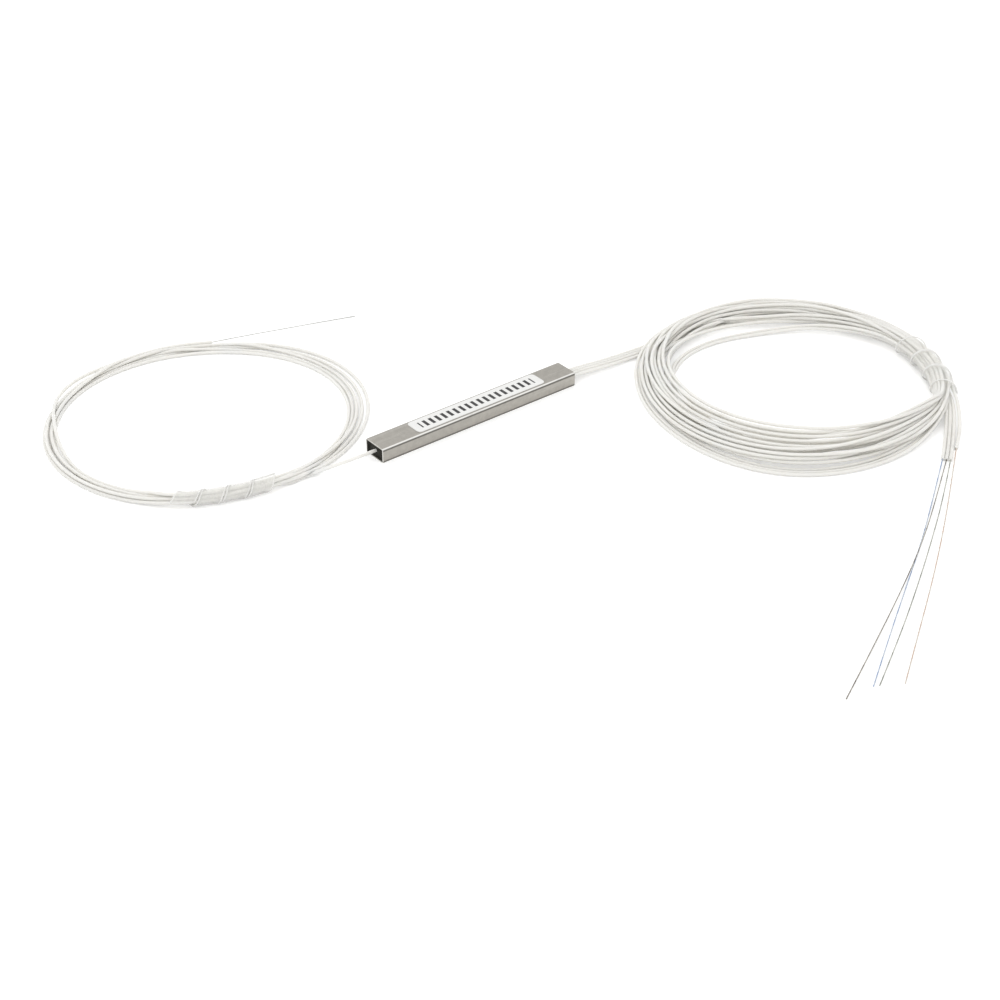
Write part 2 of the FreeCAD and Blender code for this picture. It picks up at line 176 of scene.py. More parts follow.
def run_cord(name: str, kind: CordKind, points: list[Point], nodes: list[str],
             finish: Finish) -> None:
    """Makes one free cord with a bare far end, and hides the CAD nodes that it stands for.

    Args:
        name: The piece's name.
        kind: What it shares with the cords of its kind.
        points: Its control points in metres, from the end that is held.
        nodes: The CAD nodes that it stands for.
        finish: Its material.
    """
    cord = cord_curve(name, points, kind.diameter * MM, kind.sides, kind.steps)
    cord.data.materials.append(finish)
    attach(cord, ROOT)
    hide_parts(*nodes)


def dress(node: str, finish: Finish) -> None:
    """Gives a CAD node its finish.

    Args:
        node: The node's name.
        finish: Its material.
    """
    data = bpy.data.objects[node].data
    data.materials.clear()
    data.materials.append(finish)


# ---------------------------------------------------------------- node building


class Nodes:
    """A thin wrapper that adds and links the nodes of one material, world or group."""

    # A Mix node's sockets for its factor and its two sides, and the one for its result.
    MIX_SOCKETS = {"RGBA": ((0, 6, 7), 2), "FLOAT": ((0, 2, 3), 0)}

    def __init__(self, tree: Tree) -> None:
        """Takes the tree that the nodes go into."""
        self.tree = tree

    @classmethod
    def of(cls, block: bpy.types.ID) -> "Nodes":
        """Turns on and empties the nodes of a material or a world.

        Args:
            block: The material or the world.

        Returns:
            Its nodes.
        """
        block.use_nodes = True
        block.node_tree.nodes.clear()
        return cls(block.node_tree)

    def add(self, kind: str, **values: object) -> bpy.types.Node:
        """Adds one node.

        Args:
            kind: The node's type name.
            values: Attributes of the node, or its inputs by name with underscores for spaces.

        Returns:
            The node.
        """
        node = self.tree.nodes.new(kind)
        for name, value in values.items():
            if hasattr(node, name):
                setattr(node, name, value)
            else:
                self.put(node.inputs[name.replace("_", " ")], value)
        return node

    def put(self, socket: Socket, value: object) -> None:
        """Links another socket to a socket, or sets its constant.

        Args:
            socket: The socket that takes the value.
            value: A socket or a constant. A colour gets full alpha.
        """
        if isinstance(value, Socket):
            self.tree.links.new(value, socket)
        else:
            socket.default_value = (*value, 1.0) if socket.type == "RGBA" else value

    def maths(self, operation: str, *given: object, clamp: bool = False) -> Socket:
        """One Math node's result.

        Args:
            operation: What it does.
            given: The values or sockets that it works on.
            clamp: Whether the result is kept between 0 and 1.

        Returns:
            The result's socket.
        """
        node = self.add("ShaderNodeMath", operation=operation, use_clamp=clamp)
        for socket, value in zip(node.inputs, given):
            self.put(socket, value)
        return node.outputs[0]

    def times(self, first: object, second: object) -> Socket:
        """Two values multiplied."""
        return self.maths("MULTIPLY", first, second)

    def less(self, first: object, second: object) -> Socket:
        """The first value less the second."""
        return self.maths("SUBTRACT", first, second)

    def size(self, value: object) -> Socket:
        """A value without its sign."""
        return self.maths("ABSOLUTE", value)

    def mix(self, factor: object, first: object, second: object, kind: str = "RGBA") -> Socket:
        """Two colours or values mixed.

        Args:
            factor: How much of the second there is.
            first: The first colour or value.
            second: The second one.
            kind: RGBA for colours or FLOAT for values.

        Returns:
            The result's socket.
        """
        places, result = self.MIX_SOCKETS[kind]
        node = self.add("ShaderNodeMix", data_type=kind)
        for place, value in zip(places, (factor, first, second)):
            self.put(node.inputs[place], value)
        return node.outputs[result]

    def ramp(self, value: object, low: float, high: float, out_low: float = 0.0,
             out_high: float = 1.0) -> Socket:
        """A value mapped smoothly from one range to another, and clamped.

        Args:
            value: The value.
            low: Where its range starts.
            high: Where its range ends.
            out_low: The result at the start.
            out_high: The result at the end.

        Returns:
            The result's socket.
        """
        node = self.add("ShaderNodeMapRange", interpolation_type="SMOOTHSTEP")
        for socket, put in zip(node.inputs, (value, low, high, out_low, out_high)):
            self.put(socket, put)
        return node.outputs[0]

    def near(self, value: object, edge: float, short: Pair) -> Socket:
        """Rises from 0 to 1 while a value is short of an edge by the first and then the second distance."""
        return self.ramp(value, edge - short[0], edge - short[1])

    def object_place(self, shift: Point = (0.0, 0.0, 0.0)) -> Socket:
        """Object coordinates, moved by a shift in metres."""
        source = self.add("ShaderNodeTexCoord")
        return self.add("ShaderNodeMapping", Vector=source.outputs["Object"], Location=shift).outputs[0]


class Effects:
    """The shader node groups that several finishes share, each built once."""

    FINER = 7.3
    DRAWN_OUT = (0.012, 1.0, 1.0)
    STREAK_SCALE = 0.16
    STREAKS = (0.56, 0.7)

    @staticmethod
    def _start(name: str, inputs: dict[str, float | None], outputs: tuple[str, ...]
               ) -> tuple[Nodes, bpy.types.NodeOutputs, bpy.types.NodeInputs]:
        """A new group with its sockets.

        Args:
            name: The group's name.
            inputs: Its inputs with their defaults. One without a default is a vector.
            outputs: Its outputs, which are all values.

        Returns:
            Its nodes, the sockets that bring its inputs, and those that take its outputs.
        """
        tree = bpy.data.node_groups.new(name, "ShaderNodeTree")
        for label, value in inputs.items():
            kind = "NodeSocketVector" if value is None else "NodeSocketFloat"
            socket = tree.interface.new_socket(label, in_out="INPUT", socket_type=kind)
            if value is not None:
                socket.default_value = value
        for label in outputs:
            tree.interface.new_socket(label, in_out="OUTPUT", socket_type="NodeSocketFloat")
        nodes = Nodes(tree)
        return nodes, nodes.add("NodeGroupInput").outputs, nodes.add("NodeGroupOutput").inputs

    @staticmethod
    @cache
    def mottle() -> Tree:
        """Soft cloudy variation at two sizes. Inputs Vector, Scale, Fine; output Value about 0.5.

        Returns:
            The group.
        """
        nodes, given, result = Effects._start("mottle", {"Vector": None, "Scale": 400.0, "Fine": 0.35},
                                              ("Value",))
        broad = nodes.add("ShaderNodeTexNoise", Vector=given["Vector"], Scale=given["Scale"], Detail=2.0)
        fine = nodes.add("ShaderNodeTexNoise", Vector=given["Vector"],
                         Scale=nodes.times(given["Scale"], Effects.FINER), Detail=3.0)
        nodes.put(result["Value"], nodes.mix(given["Fine"], broad.outputs[0], fine.outputs[0], "FLOAT"))
        return nodes.tree

    @staticmethod
    @cache
    def brushing() -> Tree:
        """Fine drawn lines along X. Inputs Vector, Density; outputs Lines and Scratches.

        Returns:
            The group.
        """
        nodes, given, result = Effects._start("brushing", {"Vector": None, "Density": 9000.0},
                                              ("Lines", "Scratches"))
        drawn = nodes.add("ShaderNodeVectorMath", operation="MULTIPLY")
        nodes.put(drawn.inputs[0], given["Vector"])
        nodes.put(drawn.inputs[1], Effects.DRAWN_OUT)
        lines = nodes.add("ShaderNodeTexNoise", Vector=drawn.outputs[0], Scale=given["Density"], Detail=4.0,
                          Roughness=0.6)
        streaks = nodes.add("ShaderNodeTexNoise", Vector=drawn.outputs[0], Detail=2.0,
                            Scale=nodes.times(given["Density"], Effects.STREAK_SCALE))
        nodes.put(result["Lines"], lines.outputs[0])
        nodes.put(result["Scratches"], nodes.ramp(streaks.outputs[0], *Effects.STREAKS))
        return nodes.tree

    @staticmethod
    @cache
    def rim_distance() -> Tree:
        """How near a point lies to the rim of a centred rectangle in two directions.

        Inputs Across, Half Across, Along, Half Along, Band; output Rim, which is 1 at the rim.

        Returns:
            The group.
        """
        nodes, given, result = Effects._start("rim_distance", {
            "Across": 0.0, "Half Across": 0.01, "Along": 0.0, "Half Along": 0.01, "Band": 0.001}, ("Rim",))
        left = [nodes.less(given[f"Half {way}"], nodes.size(given[way])) for way in ("Across", "Along")]
        share = nodes.maths("DIVIDE", nodes.maths("MINIMUM", *left), given["Band"], clamp=True)
        nodes.put(result["Rim"], nodes.less(1.0, share))
        return nodes.tree


class Material:
    """One material with a Principled shader, made ready for its nodes."""

    def __init__(self, name: str) -> None:
        """Makes a material that has nothing but its shader.

        Args:
            name: The material's name.
        """
        self.block = bpy.data.materials.new(name)
        self.nodes = Nodes.of(self.block)
        self.shader = self.nodes.add("ShaderNodeBsdfPrincipled")
        self.nodes.add("ShaderNodeOutputMaterial", Surface=self.shader.outputs[0])

    def set(self, **values: object) -> None:
        """Sets or links inputs of the shader by name, with underscores for spaces."""
        for name, value in values.items():
            self.nodes.put(self.shader.inputs[name.replace("_", " ")], value)

    def group(self, tree: Tree, **values: object) -> bpy.types.Node:
        """Places a shared effect with its values."""
        return self.nodes.add("ShaderNodeGroup", node_tree=tree, **values)

    def mottle(self, place: Socket, scale: float, fine: float) -> Socket:
        """Places the cloudy effect."""
        return self.group(Effects.mottle(), Vector=place, Scale=scale, Fine=fine).outputs[0]

    def bump(self, height: Socket, strength: float, distance: float = FINE_RELIEF) -> None:
        """Puts a Bump node between a height and the shader's normal."""
        bump = self.nodes.add("ShaderNodeBump", Height=height, Strength=strength, Distance=distance)
        self.set(Normal=bump.outputs[0])


# ---------------------------------------------------------------- finishes


@dataclass(frozen=True)
class SteelFinish:
    """Satin stainless steel, drawn along its length, with a painted highlight along its bends and cut ends.

    The field bend, and the field of the painted dark reflection below each bend, say how far from an outer
    face an effect starts and is full, first across the tube and then in height. The field inner says the
    same of both in wall thicknesses.
    """

    colour: Colour = (0.396, 0.378, 0.344)
    # The colour of the painted highlight along the bends and cut ends, and also of the light scratches.
    highlight_and_scratch_colour: Colour = (0.86, 0.85, 0.82)
    # Painted shade on the inner walls, which are made near black and not metallic.
    inside_shade_colour: Colour = (0.008, 0.007, 0.006)
    roughness: float = 0.34
    rough_spread: Pair = (-0.07, 0.12)
    specular: float = 0.1
    line_density: float = 9000.0
    line_tone: Pair = (0.975, 1.02)
    speck_tone: Pair = (0.88, 1.1)
    bend: tuple[Pair, Pair] = ((0.4 * MM, 0.3 * MM), (0.33 * MM, 0.22 * MM))
    # Where the painted dark reflection below each bend lies, and how dark it is.
    dark_reflection_band: tuple[Pair, Pair] = ((0.25 * MM, 0.1 * MM), (0.82 * MM, 0.62 * MM))
    dark_reflection_depth: float = 0.62
    inner: Pair = (0.98, 1.02)
    # The band at each cut end that takes the painted highlight, and how strong that highlight is.
    end_band: float = 0.12 * MM
    end_highlight: float = 0.6
    streak_share: float = 0.1
    streak_depth: float = -0.6
    relief: float = 0.35

    def build(self, half_length: float, half_width: float, height: float, wall: float) -> Finish:
        """Builds the material for a tube of that size.

        Args:
            half_length: Half the tube's length along X.
            half_width: Half its width along Y.
            height: Its height along Z.
            wall: Its wall's thickness.

        Returns:
            The material.
        """
        made = Material("steel")
        nodes = made.nodes
        place = nodes.object_place()
        along, across, level = nodes.add("ShaderNodeSeparateXYZ", Vector=place).outputs
        aside, above = nodes.size(across), nodes.size(nodes.less(level, height / 2))

        def both(ranges: tuple[Pair, Pair]) -> Socket:
            """1 near the outer faces in both directions."""
            beside, over = ranges
            return nodes.times(nodes.near(aside, half_width, beside), nodes.near(above, height / 2, over))

        brushed = made.group(Effects.brushing(), Vector=place, Density=self.line_density)
        lines, scratches = brushed.outputs
        cloud = made.mottle(place, scale=160.0, fine=0.25)
        speck = made.mottle(place, scale=900.0, fine=0.6)
        at_end = nodes.near(nodes.size(along), half_length, (self.end_band, 0.0))
        # The bends and the cut ends get a painted highlight, made patchy by a cloud.
        edge = nodes.maths("MAXIMUM", both(self.bend), nodes.times(at_end, self.end_highlight))
        painted_highlight = nodes.times(edge, nodes.ramp(cloud, 0.25, 0.5, 0.7, 1.0))
        tone = nodes.times(nodes.ramp(lines, *CLOUD, *self.line_tone),
                           nodes.ramp(speck, *CLOUD, *self.speck_tone))
        # Below each bend a dark line is painted on the side wall: a painted dark reflection.
        tone = nodes.times(tone, nodes.less(1.0, nodes.times(both(self.dark_reflection_band), self.dark_reflection_depth)))
        tint = nodes.add("ShaderNodeVectorMath", operation="SCALE", Scale=tone)
        nodes.put(tint.inputs[0], self.colour)
        streaked = nodes.mix(nodes.times(scratches, self.streak_share), tint.outputs[0], self.highlight_and_scratch_colour)
        shaded = nodes.mix(painted_highlight, streaked, self.highlight_and_scratch_colour)
        wall_pair = (self.inner[0] * wall, self.inner[1] * wall)
        # The inner walls, away from the cut ends, take the painted shade colour and lose their metal.
        inside = nodes.times(both((wall_pair, wall_pair)), nodes.less(1.0, at_end))
        low, high = (self.roughness + spread for spread in self.rough_spread)
        made.set(Base_Color=nodes.mix(inside, shaded, self.inside_shade_colour), Metallic=nodes.less(1.0, inside),
                 Roughness=nodes.ramp(lines, 0.25, 0.75, low, high), Specular_IOR_Level=self.specular)
        made.bump(nodes.maths("ADD", lines, nodes.times(scratches, self.streak_depth)), self.relief)
        return made.block


@dataclass(frozen=True)
class PaperFinish:
    """White film label with a row of plain dark bars where such a part carries its number."""

    colour: Colour = (0.87, 0.87, 0.855)
    dull: Colour = (0.55, 0.54, 0.52)
    ink: Colour = (0.02, 0.019, 0.02)
    bar_pitch: float = 1.86 * MM
    bar_share: float = 0.48
    bar_edge: float = 0.012
    bar_height: float = 2.65 * MM
    height_edge: float = 0.02 * MM
    row_length: float = 35.3 * MM
    row_edge: float = 0.01 * MM
    bars_before: int = 100
    raggedness: float = 0.05
    rim: float = 0.35 * MM
    rim_share: float = 0.4

    def build(self, centre_x: float, half_length: float, half_width: float) -> Finish:
        """Builds the material for a label centred at centre_x.

        Args:
            centre_x: Where the label's middle is along X.
            half_length: Half its length.
            half_width: Half its width.

        Returns:
            The material.
        """
        made = Material("label_film")
        nodes = made.nodes
        place = nodes.object_place((-centre_x, 0.0, 0.0))
        along, across, _ = nodes.add("ShaderNodeSeparateXYZ", Vector=place).outputs
        ragged = made.mottle(place, scale=9000.0, fine=0.5)
        fibre = made.mottle(place, scale=700.0, fine=0.5)
        soft = nodes.times(nodes.less(ragged, 0.5), self.raggedness)
        shifted = nodes.maths("ADD", along, self.bars_before * self.bar_pitch)
        cell = nodes.maths("FRACT", nodes.maths("DIVIDE", shifted, self.bar_pitch))
        bar = nodes.near(nodes.maths("ADD", nodes.size(nodes.less(cell, 0.5)), soft), self.bar_share / 2,
                         (-self.bar_edge, self.bar_edge))
        in_row = nodes.near(nodes.size(along), self.row_length / 2, (0.0, self.row_edge))
        in_height = nodes.near(nodes.maths("ADD", nodes.size(across), nodes.times(soft, MM)),
                               self.bar_height / 2, (-self.height_edge, self.height_edge))
        printed = nodes.times(nodes.times(bar, in_row), in_height)
        rim = made.group(Effects.rim_distance(), Across=across, Half_Across=half_width, Along=along,
                         Half_Along=half_length, Band=self.rim)
        dulled = nodes.maths("MAXIMUM", nodes.ramp(fibre, *CLOUD, 0.0, 0.16),
                             nodes.times(rim.outputs[0], self.rim_share))
        inked = nodes.mix(nodes.times(printed, nodes.ramp(ragged, 0.2, 0.45, 0.86, 1.0)),
                          nodes.mix(dulled, self.colour, self.dull), self.ink)
        made.set(Base_Color=inked, Roughness=nodes.ramp(fibre, *CLOUD, 0.42, 0.6))
        made.bump(fibre, 0.12)
        return made.block


@dataclass(frozen=True)
class CloudyFinish:
    """A stuff whose colour and gloss change in soft clouds, such as potting, glass, film or dye.

    The second colour starts to come in at the first value of blend and has come in fully, by the
    share that is its third value, at the second. The roughness changes likewise over gloss.
    """

    name: str
    colour: Colour
    second: Colour
    roughness: Pair
    scale: float
    fine: float = 0.4
    blend: tuple[float, float, float] = (*CLOUD, 1.0)
    gloss: Pair = CLOUD
    bump: float = 0.05
    relief: float = FINE_RELIEF
    alpha: Pair | None = None
    shader: dict[str, float] = field(default_factory=dict)

    def build(self) -> Finish:
        """Builds the material.

        Returns:
            The material.
        """
        made = Material(self.name)
        nodes = made.nodes
        cloud = made.mottle(nodes.object_place(), self.scale, self.fine)
        start, end, share = self.blend
        made.set(Base_Color=nodes.mix(nodes.ramp(cloud, start, end, 0.0, share), self.colour, self.second),
                 Roughness=nodes.ramp(cloud, *self.gloss, *self.roughness), **self.shader)
        if self.alpha:
            made.set(Alpha=nodes.ramp(cloud, *CLOUD, *self.alpha))
        made.bump(cloud, self.bump, self.relief)
        return made.block


def film_finish(name: str, colour: Colour, cloudy: Colour, roughness: float, alpha: Pair) -> CloudyFinish:
    """The clear, slightly milky film of a spiral wrap, with its least and greatest alpha."""
    return CloudyFinish(name, colour, cloudy, (roughness, 0.3), 350.0, blend=(0.35, 0.7, 0.6), bump=0.06,
                        relief=SOFT_RELIEF, alpha=alpha, shader={"IOR": 1.45})


def dye_finish(dye: FibreDye, colour: Colour, pale: Colour) -> CloudyFinish:
    """The coloured coating of a bare fibre: glossy, with slight breaks in its dye."""
    return CloudyFinish(dye.value, colour, pale, (0.22, 0.36), 260.0, 0.3, (0.4, 0.6, 0.95))


FIBRE_FINISHES = {finish[0]: dye_finish(*finish) for finish in (
    (FibreDye.NATURAL, (0.50, 0.50, 0.48), (0.62, 0.62, 0.59)),
    (FibreDye.BLUE, (0.24, 0.34, 0.54), (0.58, 0.63, 0.70)),
    (FibreDye.BROWN, (0.13, 0.11, 0.08), (0.42, 0.39, 0.33)),
    (FibreDye.GREEN, (0.21, 0.225, 0.18), (0.54, 0.54, 0.48)),
    (FibreDye.ORANGE, (0.60, 0.44, 0.34), (0.68, 0.64, 0.57)))}


@dataclass(frozen=True)
class ChipFinish:
    """Polished silicon with a faint waveguide layer in bands along it."""

    colour: Colour = (0.10, 0.105, 0.13)
    band: Colour = (0.22, 0.19, 0.30)
    band_share: float = 0.5
    metallic: float = 0.35

    def build(self) -> Finish:
        """Builds the material.

        Returns:
            The material.
        """
        made = Material("waveguide_chip")
        nodes = made.nodes
        place = nodes.object_place()
        wave = nodes.add("ShaderNodeTexWave", Vector=place, Scale=1600.0, Distortion=1.2, Detail=1.0,
                         bands_direction="Y")
        lines = nodes.times(nodes.ramp(wave.outputs[1], 0.75, 0.98), self.band_share)
        made.set(Base_Color=nodes.mix(lines, self.colour, self.band), Metallic=self.metallic,
                 Roughness=nodes.ramp(made.mottle(place, scale=900.0, fine=0.3), *CLOUD, 0.08, 0.2))
        return made.block


@dataclass(frozen=True)
class TubingFinish:
    """White, slightly see-through loose tubing: pale and soft, in places cooler or a little dusty."""

    colour: Colour = (0.87, 0.852, 0.80)
    cool: Colour = (0.825, 0.825, 0.80)
    dusty: Colour = (0.77, 0.735, 0.67)
    roughness: Pair = (0.36, 0.52)
    specular: float = 0.15
    scatter: float = 0.85
    scatter_reach: float = 0.0013
    dust_shift: Point = (0.3, 0.1, 0.0)

    def build(self) -> Finish:
        """Builds the material.

        Returns:
            The material.
        """
        made = Material("loose_tube")
        nodes = made.nodes
        place = nodes.object_place()
        cloud = made.mottle(place, scale=55.0, fine=0.2)
        grain = made.mottle(place, scale=1500.0, fine=0.5)
        dust = made.mottle(nodes.object_place(self.dust_shift), scale=130.0, fine=0.3)
        cool = nodes.mix(nodes.ramp(cloud, 0.56, 0.7), self.colour, self.cool)
        made.set(Base_Color=nodes.mix(nodes.ramp(dust, 0.54, 0.74, 0.0, 0.5), cool, self.dusty),
                 Roughness=nodes.ramp(grain, *CLOUD, *self.roughness), Specular_IOR_Level=self.specular,
                 Subsurface_Weight=self.scatter, Subsurface_Radius=(self.scatter_reach,) * 3,
                 Subsurface_Scale=1.0)
        made.bump(grain, 0.08)
        return made.block


# ---------------------------------------------------------------- coils


@dataclass(frozen=True)
class Hold:
    """Where a wrap gathers a coil.

    It has the coil's centre, the (angle, radius) line along the middle of the gathered bundle, and
    the bundle's width and the height of its middle there.
    """

    centre: Pair
    line: tuple[Pair, ...]
    width: float
    height: float


HOLDS = {
    Side.INPUT: Hold((-52.0, 40.3), (
        (-136.0, 39.4), (-128.0, 38.8), (-120.0, 38.1), (-111.0, 37.5), (-102.0, 37.1), (-93.0, 36.8)),
        2.9, 2.0),
    Side.OUTPUT: Hold((74.0, -36.5), (
        (-62.0, 39.6), (-54.0, 38.5), (-45.0, 37.3), (-36.0, 36.3), (-27.0, 35.6), (-18.0, 35.2),
        (-9.0, 35.0), (0.0, 34.9)),
        5.6, 3.4),
}


@dataclass(frozen=True)
class Cut:
    """A cut through a coil: its angle, and the (radius, height) place of each tube in it."""

    angle: float
    places: tuple[Pair, ...]


def placed(place: Pair | float) -> Pair:
    """A (radius, height) place, also from a bare radius, which is that of a tube on the floor."""
    return place if isinstance(place, tuple) else (place, ON_FLOOR)


def cut(angle: float, *places: Pair | float) -> Cut:
    """A cut with these places, where a bare radius is that of a tube on the floor."""
    return Cut(angle, tuple(placed(place) for place in places))


@dataclass
class Weave:
    """The way that several tubes take through the cuts of a coil, from place to place.

    Every place is used once. A tube moves to a place near its last one, so that the turns run
    side by side, and a few of them swap so that all tubes have the same number of turns. The tubes
    come in at the first places of the first cut, and leave from the last places of the cut before
    exit_cut. Swaps are tried at random: one that costs more may stay while the heat lasts.
    """

    cuts: list[Cut]
    tubes: int
    turns: int
    tries: int
    uneven: float
    seed: int
    exit_cut: int = 3
    longest_way: int = 400
    barred: float = 1e4
    hopeless: float = 60.0
    heat: float = 3.0
    last_heat: float = 0.02

    def _costs(self) -> list[np.ndarray]:
        """What each step from cut to cut costs.

        Returns:
            For each cut, the cost of going from each of its places to each of the next cut's.
        """
        found = []
        for number, cut in enumerate(self.cuts):
            here = np.array(cut.places)
            there = np.array(self.cuts[(number + 1) % len(self.cuts)].places)
            if number + 1 == len(self.cuts):
                there = there[self.tubes:]
            shift = here[:, None, :] - there[None, :, :]
            for axis in range(2):
                shift[:, :, axis] -= shift[:, :, axis].mean()
            cost = (shift ** 2).sum(2)
            if len(here) > len(there):
                cost = np.hstack([cost, np.zeros((len(here), len(here) - len(there)))])
                cost[-self.tubes:, :len(there)] = self.barred
                cost[:-self.tubes, len(there):] = self.barred
            found.append(cost)
        return found

    def _ways(self, links: list[np.ndarray]) -> list[list[int]]:
        """Follows every tube through the cuts until it leaves.

        Args:
            links: For each cut, the next cut's place that each of its places leads to.

        Returns:
            For each tube, the places that it takes.
        """
        left = len(self.cuts[self.exit_cut].places)
        found = []
        for tube in range(self.tubes):
            way, place, number = [tube], tube, 0
            while len(way) < self.longest_way:
                place = int(links[number][place])
                number = (number + 1) % len(self.cuts)
                if number == self.exit_cut and place >= left:
                    break
                if number == 0:
                    place += self.tubes
                way.append(place)
            found.append(way)
        return found

    def _unfair(self, links: list[np.ndarray]) -> float:
        """How far the tubes are from having the same number of turns."""
        wanted = (self.turns - 1) * len(self.cuts) + self.exit_cut
        return sum(abs(len(way) - wanted) for way in self._ways(links)) / len(self.cuts)

    def _linked(self) -> list[np.ndarray]:
        """Swaps links until the ways are short and fair.

        Returns:
            For each cut, the next cut's place that each of its places leads to.
        """
        rng = np.random.default_rng(self.seed)
        costs = self._costs()
        links = [np.arange(len(cost)) for cost in costs]
        unfair = self._unfair(links)
        for number in range(self.tries):
            heat = self.heat * (1.0 - number / self.tries) ** 2 + self.last_heat
            cut = int(rng.integers(len(links)))
            one, two = (int(value) for value in rng.choice(len(links[cut]), 2, replace=False))
            link, cost = links[cut], costs[cut]
            change = (cost[one, link[two]] + cost[two, link[one]]
                      - cost[one, link[one]] - cost[two, link[two]])
            if change > self.hopeless:
                continue
            link[one], link[two] = link[two], link[one]
            after = self._unfair(links)
            change += self.uneven * (after - unfair)
            if change < 0 or rng.random() < math.exp(-change / heat):
                unfair = after
            else:
                link[one], link[two] = link[two], link[one]
        LOG.info("coil woven: unevenness %.2f", unfair)
        return links

    def solve(self) -> list[list[Mark]]:
        """Weaves the tubes.

        Returns:
            For each tube, (angle, radius, height) along its turns, by falling angle.
        """
        found = []
        for way in self._ways(self._linked()):
            marks = []
            for step, place in enumerate(way):
                turn, number = divmod(step, len(self.cuts))
                cut = self.cuts[number]
                turned = FULL_TURN if cut.angle > self.cuts[0].angle else 0.0
                marks.append((cut.angle - turned - FULL_TURN * turn, *cut.places[place]))
            found.append(marks)
        return found


@dataclass(frozen=True)
class Laid:
    """A tube as laid: its sections, its place in each, and the places where its ends cross others."""

    index: np.ndarray
    place: np.ndarray
    pinned: list[tuple[int, float, float]]


